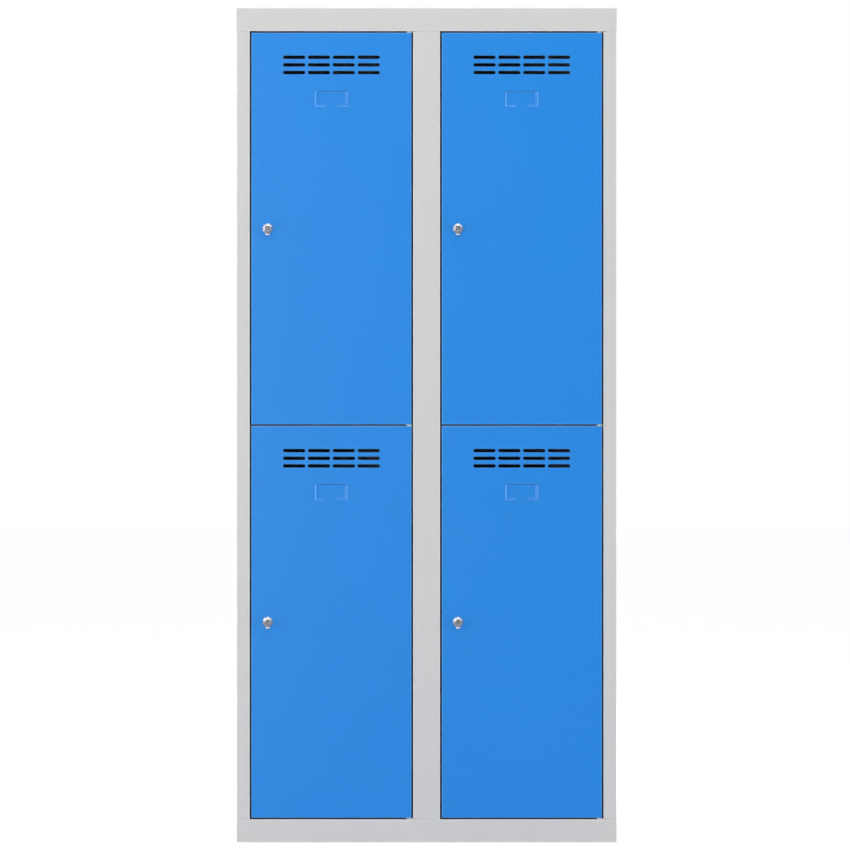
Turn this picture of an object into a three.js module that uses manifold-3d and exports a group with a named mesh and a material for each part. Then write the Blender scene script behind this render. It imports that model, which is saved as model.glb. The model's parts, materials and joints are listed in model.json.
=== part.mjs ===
// A two-column, two-tier school locker in folded sheet steel: four doors on pivot pins, each with
// a turning cylinder lock that swings a cam behind the door post.
//
// Millimetres. +X is to the right of someone facing the doors, +Y runs from the doors to the back,
// and +Z is up. The origin is on the floor, under the middle of the closed locker's own box.

import * as THREE from "three";
import { mergeVertices } from "three/addons/utils/BufferGeometryUtils.js";
import Module from "manifold-3d";

const wasm = await Module();
wasm.setup();

// ---- Driving dimensions ----------------------------------------------------------------------

// Whole locker
const width = 820;
const height = 1800;
const depth = 500; // door face to back panel, without the locks

// Sheet steel
const carcassSheet = 1;
const doorSheet = 1;
const bendRadius = 0.8; // inside radius of every sheet fold
const bendSteps = 3; // flats round one fold
const seam = 0.3; // gap between two pieces that are welded, riveted or pressed together
const clearance = 0.3; // radial gap between a turning piece and its seat

// Front frame
const sideStile = 28.5; // face of each outer post
const centreStile = 58; // face of the middle post
const rail = 50; // face of the top and bottom rails
const stileLip = 10; // last fold of the outer posts
const rearFlange = 15;
const footFlange = 20;
const partitionTuck = 12; // how far the partition reaches in between the middle post's lips

// Doors
const sideGap = 3.75; // door to post
const tierGap = 3.5; // door to rail, and door to door
const doorDepth = 20;
const doorRelief = 2; // posts and rails fold back this much further than the doors
const doorLip = 12;

// Vent slots: rows of round-ended slots at the top of each door
const ventColumns = 4;
const ventRows = 3;
const ventLength = 48;
const ventHeight = 7.5;
const ventPitchX = 53.6;
const ventPitchZ = 16.5;
const ventTop = 53; // door top to the middle of the first row

// Card holder: two L-shaped lips, pressed out of the door, under a narrow slit
const holderTop = 125.8; // door top to the top of the slit
const holderWidth = 71.4;
const holderHeight = 34; // top of the slit to the bottom of the lips
const holderFoot = 23; // length of the short arm of each lip
const holderArm = 7; // width of each lip
const lipBelowSlit = 1.8; // top of the slit to the top of the lips
const holderWall = 1.8; // the part of the lip that joins the door
const holderProud = 1.9;
const holderLipSheet = 0.9;
const slitHeight = 0.8;
const slitMargin = 4.2;

// Door stiffener, a hat section welded down the middle of the door
const hatCrown = 40;
const hatDepth = 12;
const hatFlange = 12;
const hatFoot = 60; // door bottom to the stiffener
const hatHead = 190; // door top to the stiffener

// Hinges: a pin through a plate in each gap, turning in bushes in the doors
const pinRadius = 2.5;
const pinReach = 8; // how far a pin enters a door, from the plate
const headThickness = 0.5;
const headRim = 1.5;
const plateThickness = 1.5;
const plateTail = 16; // part of the plate inside the post
const plateLeg = 14;
const notchFace = 5; // how far the plate's notch comes round on to the post's face
const notchClearance = 0.4;
const bushWall = 1.5;
const bushLength = 6;
const collarThickness = 0.5;
const collarSeat = 0.2; // under the collar
const collarRim = 0.9;
const bushToSkin = 0.7; // bush to the inside of the door skin

// Locks
const lockInset = 35; // door edge to lock axis
const barrelRadius = 8;
const barrelPast = 2; // barrel past the back of the door
const rosetteRadius = 10.8;
const rosetteThickness = 2.6;
const rosetteRound = 1.2;
const headRadius = 8.8;
const headProjection = 11; // door face to the front of the lock
const plugRadius = 5.6;
const plugFace = 8.4; // door face to the plug's own face
const plugBack = 4;
const ribWidth = 3.2;
const ribHeight = 10.2;
const ribFront = 10.7;
const keywayWidth = 1.2;
const keywayHeight = 7;
const keywayDepth = 5;
const shaftRadius = 4.5;
const shankSide = 6;
const tabWidth = 9;
const tabDrop = 14.3; // lock axis to the bottom of the finger tab
const tabThickness = 3.4;
const tabRound = 1.5;
const nutAcross = 22;
const nutThickness = 4;
const camGap = 2.5; // clear of the end of the barrel
const camThickness = 2;
const camLatch = 9.5; // how far the turned cam reaches behind the post
const camHub = 8;
const camTip = 6;
const shankEnd = 1; // the shank past the cam

// Coat hooks
const hookStrip = 2.5;
const hookWidth = 14;
const hookBend = 5;
const hookPlate = 26;
const hookDrop = 34;
const hookThroat = 20;
const hookRise = 14;

// ---- Sizes that follow from those ------------------------------------------------------------

const openingWidth = (width - 2 * sideStile - centreStile) / 2;
const doorWidth = openingWidth - 2 * sideGap;
const doorHeight = (height - 2 * rail - 3 * tierGap) / 2;
const returnDepth = doorDepth + doorRelief;
const backInside = depth - carcassSheet - seam;
const wallInside = width / 2 - carcassSheet;
const frameBend = bendRadius + carcassSheet;
const tierJoint = height / 2;

const boreRadius = pinRadius + clearance;
const bushRadius = boreRadius + bushWall;
const collarRadius = bushRadius + collarRim;
const pinInset = doorSheet + bushToSkin + bushRadius; // from the door's face and from its edge
const plateRadius = pinInset - carcassSheet - seam;

const barrelEnd = doorDepth + barrelPast;
const camLength = lockInset + sideGap + camLatch;
const camFront = barrelEnd + camGap;
const counterbore = plugRadius + clearance;
const headRound = headRadius - counterbore;

const columns = [
  { name: "left", opening: -width / 2 + sideStile, inside: -wallInside },
  { name: "right", opening: centreStile / 2, inside: carcassSheet / 2 },
];
const tiers = [
  { name: "lower", bottom: rail + tierGap, ceiling: tierJoint - carcassSheet / 2 },
  { name: "upper", bottom: tierJoint + tierGap / 2, ceiling: height - carcassSheet },
];
const compartmentWidth = wallInside - carcassSheet / 2;

// ---- Materials -------------------------------------------------------------------------------

const greyPaint = new THREE.MeshStandardMaterial({ color: 0xd2d2d1, roughness: 0.5, metalness: 0 });
const bluePaint = new THREE.MeshStandardMaterial({ color: 0x328be4, roughness: 0.45, metalness: 0 });
const chrome = new THREE.MeshStandardMaterial({ color: 0xd8d9dc, roughness: 0.15, metalness: 1 });
const zinc = new THREE.MeshStandardMaterial({ color: 0xb9bcbf, roughness: 0.4, metalness: 1 });
const nylon = new THREE.MeshStandardMaterial({ color: 0xe9e8e2, roughness: 0.6, metalness: 0 });

// ---- Solids ----------------------------------------------------------------------------------

// A closed three.js geometry as a solid that can be joined and cut.
function solidOf(geometry) {
  geometry.deleteAttribute("normal");
  geometry.deleteAttribute("uv");
  const merged = mergeVertices(geometry, 1e-4);
  return new wasm.Manifold(
    new wasm.Mesh({
      numProp: 3,
      vertProperties: merged.attributes.position.array,
      triVerts: new Uint32Array(merged.index.array),
    }),
  );
}

function join(first, ...others) {
  return others.reduce((sum, solid) => sum.add(solid), first);
}

function cut(first, ...tools) {
  return tools.reduce((rest, tool) => rest.subtract(tool), first);
}

function piece(name, solid, material) {
  const { numProp, numVert, vertProperties, triVerts } = solid.getMesh();
  const positions = new Float32Array(numVert * 3);
  for (let i = 0; i < numVert; i += 1) {
    positions.set(vertProperties.subarray(i * numProp, i * numProp + 3), i * 3);
  }
  const geometry = new THREE.BufferGeometry();
  geometry.setAttribute("position", new THREE.BufferAttribute(positions, 3));
  geometry.setIndex(new THREE.BufferAttribute(triVerts, 1));
  geometry.computeVertexNormals();
  const mesh = new THREE.Mesh(geometry, material);
  mesh.name = name;
  return mesh;
}

function block([x0, x1], [y0, y1], [z0, z1]) {
  const box = new THREE.BoxGeometry(x1 - x0, y1 - y0, z1 - z0);
  return solidOf(box.translate((x0 + x1) / 2, (y0 + y1) / 2, (z0 + z1) / 2));
}

// An outline given in two of the axes, extruded along the third.
function extruded(outline, length, toWorld) {
  const corners = () => outline.map(([u, v]) => new THREE.Vector2(u, v));
  const shape = outline instanceof THREE.Shape ? outline : new THREE.Shape(corners());
  const geometry = new THREE.ExtrudeGeometry(shape, { depth: length, bevelEnabled: false, curveSegments: 3 });
  return solidOf(geometry.applyMatrix4(toWorld));
}

// Outline in (x, y), from z0 up to z1.
function upright(outline, z0, z1) {
  return extruded(outline, z1 - z0, new THREE.Matrix4().makeTranslation(0, 0, z0));
}

// Outline in (y, z), from x0 across to x1.
function crosswise(outline, x0, x1) {
  const turn = new THREE.Matrix4().makeBasis(
    new THREE.Vector3(0, 1, 0),
    new THREE.Vector3(0, 0, 1),
    new THREE.Vector3(1, 0, 0),
  );
  return extruded(outline, x1 - x0, turn.setPosition(x0, 0, 0));
}

// Outline in (x, z), from y0 back to y1.
function frontal(outline, y0, y1) {
  const turn = new THREE.Matrix4().makeBasis(
    new THREE.Vector3(1, 0, 0),
    new THREE.Vector3(0, 0, 1),
    new THREE.Vector3(0, -1, 0),
  );
  return extruded(outline, y1 - y0, turn.setPosition(0, y1, 0));
}

// A profile of [radius, along] points, going up on the outside, turned round the Y axis.
function turnedOnY(profile, sides) {
  return solidOf(new THREE.LatheGeometry(profile.map(([r, y]) => new THREE.Vector2(r, y)), sides));
}

// The same, turned round the Z axis.
function turnedOnZ(profile, sides) {
  const lathe = new THREE.LatheGeometry(profile.map(([r, z]) => new THREE.Vector2(r, z)), sides);
  return solidOf(lathe.rotateX(Math.PI / 2));
}

function rodOnY(radius, y0, y1, sides) {
  return turnedOnY([[0, y0], [radius, y0], [radius, y1], [0, y1]], sides);
}

function rodOnZ(radius, z0, z1, sides) {
  return turnedOnZ([[0, z0], [radius, z0], [radius, z1], [0, z1]], sides);
}

// The outline of a bent sheet: the path runs through the middle of its thickness, and each corner
// of the path becomes an arc, with the same centre on both faces of the sheet.
function foldedSheet(path, thickness, insideRadius) {
  const points = path.map(([u, v]) => new THREE.Vector2(u, v));
  const leftFace = [];
  const rightFace = [];
  const addPair = (centre, outward, left, right) => {
    leftFace.push(centre.clone().addScaledVector(outward, left));
    rightFace.push(centre.clone().addScaledVector(outward, right));
  };
  const leftOf = (direction) => new THREE.Vector2(-direction.y, direction.x);
  points.forEach((point, i) => {
    const before = i > 0 ? point.clone().sub(points[i - 1]).normalize() : null;
    const after = i < points.length - 1 ? points[i + 1].clone().sub(point).normalize() : null;
    if (!before || !after) {
      addPair(point, leftOf(before ?? after), thickness / 2, -thickness / 2);
      return;
    }
    const turn = Math.atan2(before.cross(after), before.dot(after));
    const side = Math.sign(turn);
    const radius = insideRadius + thickness / 2;
    const setback = radius * Math.tan(Math.abs(turn) / 2);
    const start = point.clone().addScaledVector(before, -setback);
    const centre = start.addScaledVector(leftOf(before), side * radius);
    for (let k = 0; k <= bendSteps; k += 1) {
      const spoke = leftOf(before).multiplyScalar(-side).rotateAround(new THREE.Vector2(), (turn * k) / bendSteps);
      addPair(centre, spoke, radius - (side * thickness) / 2, radius + (side * thickness) / 2);
    }
  });
  return leftFace.concat(rightFace.reverse()).map(({ x, y }) => [x, y]);
}

// A rectangle whose two corners at v0 are rounded.
function roundFronted([u0, u1], [v0, v1], radius) {
  const outline = [[u0, v1]];
  for (let k = 0; k <= bendSteps; k += 1) {
    const angle = Math.PI + ((Math.PI / 2) * k) / bendSteps;
    outline.push([u0 + radius + radius * Math.cos(angle), v0 + radius + radius * Math.sin(angle)]);
  }
  for (let k = 0; k <= bendSteps; k += 1) {
    const angle = -Math.PI / 2 + ((Math.PI / 2) * k) / bendSteps;
    outline.push([u1 - radius + radius * Math.cos(angle), v0 + radius + radius * Math.sin(angle)]);
  }
  outline.push([u1, v1]);
  return outline;
}

// A block whose four edges round its front are rounded.
function pillow(xs, ys, zs, radius) {
  const plan = upright(roundFronted(xs, ys, radius), zs[0], zs[1]);
  const section = roundFronted(zs, ys, radius).map(([z, y]) => [y, z]);
  return plan.intersect(crosswise(section, xs[0], xs[1]));
}

// A tray of sheet with its face at y = 0 and its open side at the back. Its two upright edges may
// turn in again as lips.
function tray(across, up, back, sheet, lip) {
  const outer = pillow([0, across], [0, back], [0, up], bendRadius + sheet);
  const hollow = pillow([sheet, across - sheet], [sheet, back - (lip ? sheet : -1)], [sheet, up - sheet], bendRadius);
  const mouth = block([lip || sheet, across - (lip || sheet)], [back / 2, back + 1], [sheet, up - sheet]);
  return cut(outer, hollow, mouth);
}

function roundEndedSlot(length, high) {
  const radius = high / 2;
  const shape = new THREE.Shape();
  shape.absarc(length / 2 - radius, 0, radius, -Math.PI / 2, Math.PI / 2);
  shape.absarc(radius - length / 2, 0, radius, Math.PI / 2, (3 * Math.PI) / 2);
  return shape;
}

// ---- Carcass ---------------------------------------------------------------------------------

// Heights of the hinge plates: under the top rail, between the tiers and over the bottom rail.
const hingeLevels = [
  { name: "bottom", z: rail + tierGap / 2, up: true, down: false },
  { name: "middle", z: tierJoint, up: true, down: true },
  { name: "top", z: height - rail - tierGap / 2, up: false, down: true },
];

// The slots that let the hinge plates out of a post whose edge is at x.
function hingeNotches(edge) {
  const half = plateThickness / 2 + notchClearance;
  const back = pinInset + plateRadius + notchClearance;
  return hingeLevels.flatMap(({ z, up, down }) => {
    const zs = [up && !down ? rail - 1 : z - half, down && !up ? height - rail + 1 : z + half];
    const throughReturn = block([edge - 1, edge + frameBend], [-1, back], zs);
    const roundFace = block([edge - 1, edge + notchFace], [-1, frameBend], zs);
    return [throughReturn, roundFace];
  });
}

// One side: rear flange, side wall, post face, return and lip in one folded sheet. The rails pass in
// front of its ends, and a flange stands on the floor.
function sidePanel(hand, hinged) {
  const half = carcassSheet / 2;
  const wall = hand * (width / 2 - half);
  const postEdge = hand * (width / 2 - sideStile + half);
  const path = [
    [wall - hand * rearFlange, backInside - half],
    [wall, backInside - half],
    [wall, half],
    [postEdge, half],
    [postEdge, returnDepth - half],
    [postEdge + hand * stileLip, returnDepth - half],
  ];
  const sheet = upright(foldedSheet(path, carcassSheet, bendRadius), 0, height - carcassSheet - seam);
  const aside = [-width, width];
  const railSeat = [-1, frameBend + seam];
  const behindWall = wall - hand * (half + seam);
  const pastPost = postEdge - hand * carcassSheet;
  const postSpan = [Math.min(behindWall, pastPost), Math.max(behindWall, pastPost)];
  const behindRail = [-1, returnDepth + seam];
  const foot = block(
    [Math.min(wall, wall - hand * footFlange), Math.max(wall, wall - hand * footFlange)],
    [footFlange + 2 * frameBend, backInside - 2 * rearFlange],
    [0, carcassSheet],
  );
  const body = cut(
    join(sheet, foot),
    block(aside, railSeat, [height - rail - seam, height]),
    block(aside, railSeat, [-1, rail + seam]),
    block(postSpan, behindRail, [height - rail - seam, height]),
    block(postSpan, behindRail, [-1, rail + seam]),
  );
  return hinged ? cut(body, ...hingeNotches(width / 2 - sideStile)) : body;
}

// The middle post: a box section, open down the back for the partition.
function centrePost() {
  const half = carcassSheet / 2;
  const lipEnd = half + seam;
  const edge = centreStile / 2 - half;
  const path = [
    [-lipEnd, returnDepth - half],
    [-edge, returnDepth - half],
    [-edge, half],
    [edge, half],
    [edge, returnDepth - half],
    [lipEnd, returnDepth - half],
  ];
  const sheet = upright(foldedSheet(path, carcassSheet, bendRadius), rail + seam, height - rail - seam);
  return cut(sheet, ...hingeNotches(-centreStile / 2));
}

// The partition: a flat sheet with one flange along the back.
function partition() {
  const half = carcassSheet / 2;
  const path = [
    [0, returnDepth - partitionTuck],
    [0, backInside - half],
    [rearFlange, backInside - half],
  ];
  const sheet = upright(foldedSheet(path, carcassSheet, bendRadius), rail + seam, height - carcassSheet - seam);
  const railReturn = block([-rearFlange, rearFlange], [0, returnDepth + seam], [height - rail - seam, height]);
  return cut(sheet, railReturn);
}

// Narrows a full-width folded sheet to fit between the side walls everywhere behind its front face.
function betweenWalls(sheet, zs) {
  const behindFace = [frameBend, depth];
  const inside = wallInside - seam;
  return cut(sheet, block([-width, -inside], behindFace, zs), block([inside, width], behindFace, zs));
}

function topPanel() {
  const half = carcassSheet / 2;
  const path = [
    [returnDepth, height - rail + half],
    [half, height - rail + half],
    [half, height - half],
    [backInside, height - half],
  ];
  const sheet = crosswise(foldedSheet(path, carcassSheet, bendRadius), -width / 2, width / 2);
  return betweenWalls(sheet, [0, height - 2 * frameBend]);
}

function bottomPanel() {
  const half = carcassSheet / 2;
  const path = [
    [footFlange, half],
    [half, half],
    [half, rail - half],
    [backInside, rail - half],
  ];
  const sheet = crosswise(foldedSheet(path, carcassSheet, bendRadius), -width / 2, width / 2);
  const rearCorner = [backInside - carcassSheet - seam, depth];
  const floor = betweenWalls(sheet, [-1, height]);
  return cut(
    floor,
    block([-width, rearFlange + carcassSheet - width / 2], rearCorner, [0, height]),
    block([width / 2 - rearFlange - carcassSheet, width], rearCorner, [0, height]),
  );
}

// The shelf between the tiers: a tray turned open side down.
function tierShelf({ inside }) {
  const front = returnDepth + 2 * seam;
  const back = backInside - carcassSheet - seam;
  const across = compartmentWidth - 2 * seam;
  const shelf = tray(across, back - front, rearFlange, carcassSheet, 0);
  return shelf.rotate([-90, 0, 0]).translate([inside + seam, front, tierJoint + carcassSheet / 2]);
}

function backPanel() {
  const half = width / 2 - carcassSheet;
  return block([-half, half], [depth - carcassSheet, depth], [carcassSheet, height - carcassSheet]);
}

// ---- Hinges ----------------------------------------------------------------------------------

// A plate with a round nose and a hole for the pin, which is at the origin. Its tail is inside the
// post, with a leg against the back of the post's face.
function hingePlate(legUp) {
  const half = plateThickness / 2;
  const tail = pinInset + sideGap + plateTail;
  const outline = new THREE.Shape();
  outline.absarc(0, 0, plateRadius, Math.PI / 2, (3 * Math.PI) / 2);
  outline.lineTo(tail, -plateRadius);
  outline.lineTo(tail, plateRadius);
  const legStart = pinInset + sideGap + frameBend + seam;
  const legHeights = legUp ? [-half, plateLeg] : [-plateLeg, half];
  const leg = block([legStart, tail], [-plateRadius, plateThickness - plateRadius], legHeights);
  return cut(join(upright(outline, -half, half), leg), rodOnZ(boreRadius, -plateLeg, plateLeg, 12));
}

// A pin through the plate, with a riveted head on a side that has no door.
function hingePin({ up, down }) {
  const half = plateThickness / 2;
  const headSeat = half + collarSeat;
  const shank = rodOnZ(pinRadius, down ? -half - pinReach : -headSeat, up ? half + pinReach : headSeat, 12);
  if (up && down) {
    return shank;
  }
  const headEnd = headSeat + headThickness;
  return join(shank, rodOnZ(pinRadius + headRim, up ? -headEnd : headSeat, up ? -headSeat : headEnd, 12));
}

// A flanged bush for the top of a door, with the door's top at z = 0.
function doorBush() {
  const collarTop = collarSeat + collarThickness;
  const profile = [
    [boreRadius, -bushLength],
    [bushRadius, -bushLength],
    [bushRadius, collarSeat],
    [collarRadius, collarSeat],
    [collarRadius, collarTop],
    [boreRadius, collarTop],
    [boreRadius, -bushLength],
  ];
  return turnedOnZ(profile, 12);
}

// ---- Doors -----------------------------------------------------------------------------------

// Everything on a door is placed from its hinge axis, with z = 0 at the door's bottom edge.
const doorLeft = pinInset - doorWidth;
const doorMiddle = pinInset - doorWidth / 2;
const doorFace = -pinInset;

function ventSlots() {
  const slots = [];
  for (let row = 0; row < ventRows; row += 1) {
    for (let column = 0; column < ventColumns; column += 1) {
      const x = doorMiddle + (column - (ventColumns - 1) / 2) * ventPitchX;
      const z = doorHeight - ventTop - row * ventPitchZ;
      const slot = frontal(roundEndedSlot(ventLength, ventHeight), doorFace - 1, doorFace + doorSheet + 1);
      slots.push(slot.translate([x, 0, z]));
    }
  }
  return slots;
}

// One lip of the card holder. Its wall joins the door, and its edge stands over the card.
function holderLip(hand) {
  const outer = doorMiddle + (hand * holderWidth) / 2;
  const bottom = doorHeight - holderTop - holderHeight;
  const top = bottom + holderHeight - lipBelowSlit;
  const ell = (arm) => [
    [outer, bottom],
    [outer - hand * holderFoot, bottom],
    [outer - hand * holderFoot, bottom + arm],
    [outer - hand * arm, bottom + arm],
    [outer - hand * arm, top],
    [outer, top],
  ];
  const wall = frontal(ell(holderWall), doorFace - holderProud, doorFace + doorSheet / 2);
  const edge = frontal(ell(holderArm), doorFace - holderProud, doorFace - holderProud + holderLipSheet);
  return join(wall, edge);
}

function doorPanel() {
  const shell = tray(doorWidth, doorHeight, doorDepth, doorSheet, doorLip).translate([doorLeft, doorFace, 0]);
  const slitTop = doorHeight - holderTop;
  const slitHalf = holderWidth / 2 - slitMargin;
  const slit = block(
    [doorMiddle - slitHalf, doorMiddle + slitHalf],
    [doorFace - 1, doorFace + doorSheet + 1],
    [slitTop - slitHeight, slitTop],
  );
  const lockHole = rodOnY(barrelRadius + clearance, doorFace - 1, doorFace + doorSheet + 1, 16);
  const bushHole = rodOnZ(bushRadius + seam, -1, doorSheet + 1, 12);
  return cut(
    join(shell, holderLip(-1), holderLip(1)),
    slit,
    lockHole.translate([doorLeft + lockInset, 0, doorHeight / 2]),
    bushHole,
    bushHole.translate([0, 0, doorHeight - doorSheet]),
    ...ventSlots(),
  );
}

function doorStiffener() {
  const near = doorFace + doorSheet + seam + doorSheet / 2;
  const far = near + hatDepth;
  const crown = hatCrown / 2;
  const path = [
    [-crown - hatFlange, near],
    [-crown, near],
    [-crown, far],
    [crown, far],
    [crown, near],
    [crown + hatFlange, near],
  ];
  const hat = upright(foldedSheet(path, doorSheet, bendRadius), hatFoot, doorHeight - hatHead);
  return hat.translate([doorMiddle, 0, 0]);
}

// ---- Locks -----------------------------------------------------------------------------------

// Everything in a lock is placed from the point where its axis meets the door's face.

function lockBody() {
  const arc = (r, y, radius) =>
    [0, 1, 2, 3].map((k) => {
      const angle = (Math.PI / 2) * (k / 3);
      return [r + radius * Math.sin(angle), y - radius * Math.cos(angle)];
    });
  const profile = [
    ...arc(counterbore, headRound - headProjection, headRound),
    [headRadius, -rosetteThickness],
    ...arc(rosetteRadius - rosetteRound, rosetteRound - rosetteThickness, rosetteRound),
    [rosetteRadius, -seam],
    [barrelRadius, -seam],
    [barrelRadius, barrelEnd],
    [shaftRadius + clearance, barrelEnd],
    [shaftRadius + clearance, clearance - plugBack],
    [counterbore, clearance - plugBack],
    [counterbore, -headProjection],
  ];
  const tab = new THREE.Shape();
  tab.moveTo(-tabWidth / 2, -headRadius);
  tab.absarc(tabRound - tabWidth / 2, tabRound - tabDrop, tabRound, Math.PI, (3 * Math.PI) / 2);
  tab.absarc(tabWidth / 2 - tabRound, tabRound - tabDrop, tabRound, -Math.PI / 2, 0);
  tab.lineTo(tabWidth / 2, -headRadius);
  return join(turnedOnY(profile, 16), frontal(tab, -tabThickness, -seam));
}

function lockNut() {
  const hexagon = new THREE.Shape();
  const corner = nutAcross / Math.sqrt(3);
  for (let k = 0; k < 6; k += 1) {
    const angle = (Math.PI / 3) * k;
    hexagon[k ? "lineTo" : "moveTo"](corner * Math.cos(angle), corner * Math.sin(angle));
  }
  const near = doorSheet + seam;
  const bore = rodOnY(barrelRadius + clearance, 0, near + nutThickness + 1, 20);
  return cut(frontal(hexagon, near, near + nutThickness), bore);
}

// The plug: a disc with a raised rib that holds the keyway, and a shaft that ends in a square shank.
function lockPlug() {
  const profile = [
    [0, -plugFace],
    [plugRadius, -plugFace],
    [plugRadius, -plugBack],
    [shaftRadius, -plugBack],
    [shaftRadius, camFront - clearance],
    [0, camFront - clearance],
  ];
  const side = shankSide / 2;
  const camBack = camFront + camThickness;
  const shank = block([-side, side], [camFront - 1, camBack + shankEnd], [-side, side]);
  const rib = block([-ribWidth / 2, ribWidth / 2], [-ribFront, -plugBack], [-ribHeight / 2, ribHeight / 2]);
  const keyway = block(
    [-keywayWidth / 2, keywayWidth / 2],
    [-ribFront - 1, keywayDepth - ribFront],
    [-keywayHeight / 2, keywayHeight / 2],
  );
  return cut(join(turnedOnY(profile, 16), shank, rib), keyway);
}

// The cam hangs straight down while the door is free, and turns to point at the post.
function lockCam() {
  const outline = new THREE.Shape();
  outline.absarc(0, 0, camHub, 0, Math.PI);
  outline.absarc(0, camTip - camLength, camTip, Math.PI, 2 * Math.PI);
  const plate = frontal(outline, camFront, camFront + camThickness);
  const side = shankSide / 2 + clearance;
  return cut(plate, block([-side, side], [camFront - 1, camFront + camThickness + 1], [-side, side]));
}

// ---- Coat hooks ------------------------------------------------------------------------------

// A bent strip under the compartment's ceiling, which is at z = 0.
function coatHook() {
  const top = -seam - hookStrip / 2;
  const path = [
    [-hookPlate / 2, top],
    [hookPlate / 2, top],
    [hookPlate / 2, top - hookDrop],
    [hookPlate / 2 - hookThroat, top - hookDrop],
    [hookPlate / 2 - hookThroat, top - hookDrop + hookRise],
  ];
  return crosswise(foldedSheet(path, hookStrip, hookBend), -hookWidth / 2, hookWidth / 2);
}

// ---- Assembly --------------------------------------------------------------------------------

function at(object, x, y, z) {
  object.position.set(x, y, z);
  return object;
}

function latch(prefix) {
  const turning = new THREE.Group();
  turning.add(piece(`${prefix}_lock_plug`, lockPlug(), chrome));
  turning.add(piece(`${prefix}_lock_cam`, lockCam(), zinc));
  return turning;
}

function lock(prefix) {
  const group = new THREE.Group();
  group.add(piece(`${prefix}_lock_body`, lockBody(), chrome));
  group.add(piece(`${prefix}_lock_nut`, lockNut(), zinc));
  group.add(latch(prefix));
  return group;
}

function door(prefix) {
  const group = new THREE.Group();
  group.add(piece(`${prefix}_door_panel`, doorPanel(), bluePaint));
  group.add(piece(`${prefix}_door_stiffener`, doorStiffener(), bluePaint));
  group.add(at(piece(`${prefix}_top_bush`, doorBush(), nylon), 0, 0, doorHeight));
  group.add(piece(`${prefix}_bottom_bush`, doorBush().rotate([180, 0, 0]), nylon));
  group.add(at(lock(prefix), doorLeft + lockInset, doorFace, doorHeight / 2));
  return group;
}

function hinge(prefix, level) {
  const group = new THREE.Group();
  group.add(piece(`${prefix}_${level.name}_hinge_plate`, hingePlate(level.up), greyPaint));
  group.add(piece(`${prefix}_${level.name}_hinge_pin`, hingePin(level), zinc));
  return group;
}

const locker = new THREE.Group();
locker.add(piece("left_side_panel", sidePanel(-1, false), greyPaint));
locker.add(piece("right_side_panel", sidePanel(1, true), greyPaint));
locker.add(piece("centre_post", centrePost(), greyPaint));
locker.add(piece("centre_partition", partition(), greyPaint));
locker.add(piece("top_panel", topPanel(), greyPaint));
locker.add(piece("bottom_panel", bottomPanel(), greyPaint));
locker.add(piece("back_panel", backPanel(), greyPaint));

for (const column of columns) {
  const hingeX = column.opening + sideGap + doorWidth - pinInset;
  const middle = column.inside + compartmentWidth / 2;
  locker.add(piece(`${column.name}_shelf`, tierShelf(column), greyPaint));
  for (const level of hingeLevels) {
    locker.add(at(hinge(column.name, level), hingeX, pinInset, level.z));
  }
  for (const tier of tiers) {
    const prefix = `${tier.name}_${column.name}`;
    locker.add(at(door(prefix), hingeX, pinInset, tier.bottom));
    locker.add(at(piece(`${prefix}_coat_hook`, coatHook(), zinc), middle, depth / 2, tier.ceiling));
  }
}

// The locks stand in front of the doors, so the middle of the whole box is half their projection
// in front of the middle of the carcass.
locker.position.y = (headProjection - depth) / 2;

const group = new THREE.Group();
group.add(locker);

export default group;
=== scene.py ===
# %% [markdown]
# # A school locker in folded sheet steel
#
# The real locker starts as flat steel sheet. It is cut, folded, welded and then powder coated: a
# light grey carcass with four blue doors, each hung on pins and held by a small chrome lock.
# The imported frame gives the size, the joints and a plain solid for every part. This script gives
# each part the surface that it really has, and leaves every place and size as the frame says.

# %% Load the frame
import json
import math

import bmesh
import bpy
import numpy as np
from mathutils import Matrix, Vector

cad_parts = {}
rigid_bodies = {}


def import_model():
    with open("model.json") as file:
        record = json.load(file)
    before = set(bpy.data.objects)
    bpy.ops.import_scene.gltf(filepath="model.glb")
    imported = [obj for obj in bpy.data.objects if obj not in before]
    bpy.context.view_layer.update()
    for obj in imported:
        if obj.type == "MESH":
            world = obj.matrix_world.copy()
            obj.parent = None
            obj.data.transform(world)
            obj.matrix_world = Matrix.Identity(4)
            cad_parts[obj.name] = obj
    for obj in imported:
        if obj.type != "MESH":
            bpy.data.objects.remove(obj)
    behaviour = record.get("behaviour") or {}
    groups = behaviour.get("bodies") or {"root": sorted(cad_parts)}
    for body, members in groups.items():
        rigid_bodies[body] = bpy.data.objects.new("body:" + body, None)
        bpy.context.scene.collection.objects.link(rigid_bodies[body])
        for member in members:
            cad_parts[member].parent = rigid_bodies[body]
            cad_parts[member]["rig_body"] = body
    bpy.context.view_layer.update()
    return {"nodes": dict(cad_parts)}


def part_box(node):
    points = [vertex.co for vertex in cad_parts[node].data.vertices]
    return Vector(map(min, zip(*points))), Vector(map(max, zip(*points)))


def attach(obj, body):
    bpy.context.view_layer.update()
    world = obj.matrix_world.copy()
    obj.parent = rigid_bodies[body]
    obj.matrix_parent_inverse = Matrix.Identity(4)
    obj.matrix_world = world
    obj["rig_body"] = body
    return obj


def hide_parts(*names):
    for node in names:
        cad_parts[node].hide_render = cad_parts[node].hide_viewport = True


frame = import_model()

# %% [markdown]
# ## Sizes
#
# Places come from the boxes of the frame's own nodes. What a box can't say, such as how thick the
# sheet is or how tight a fold, is named here once. A maker would read the same list off a drawing.

# %% Sizes of the sheet and its folds
MM = 0.001
SHEET = 1.0 * MM
HALF = SHEET / 2
BEND = 0.8 * MM + HALF  # radius of a fold, at the middle of the sheet
FOLD = BEND + HALF  # radius of a fold, at its outside
SEAM = 0.3 * MM  # gap between two pieces that are welded together
EDGE_ROUND = 0.16 * MM  # how far a cut edge is rounded by the coating

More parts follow.
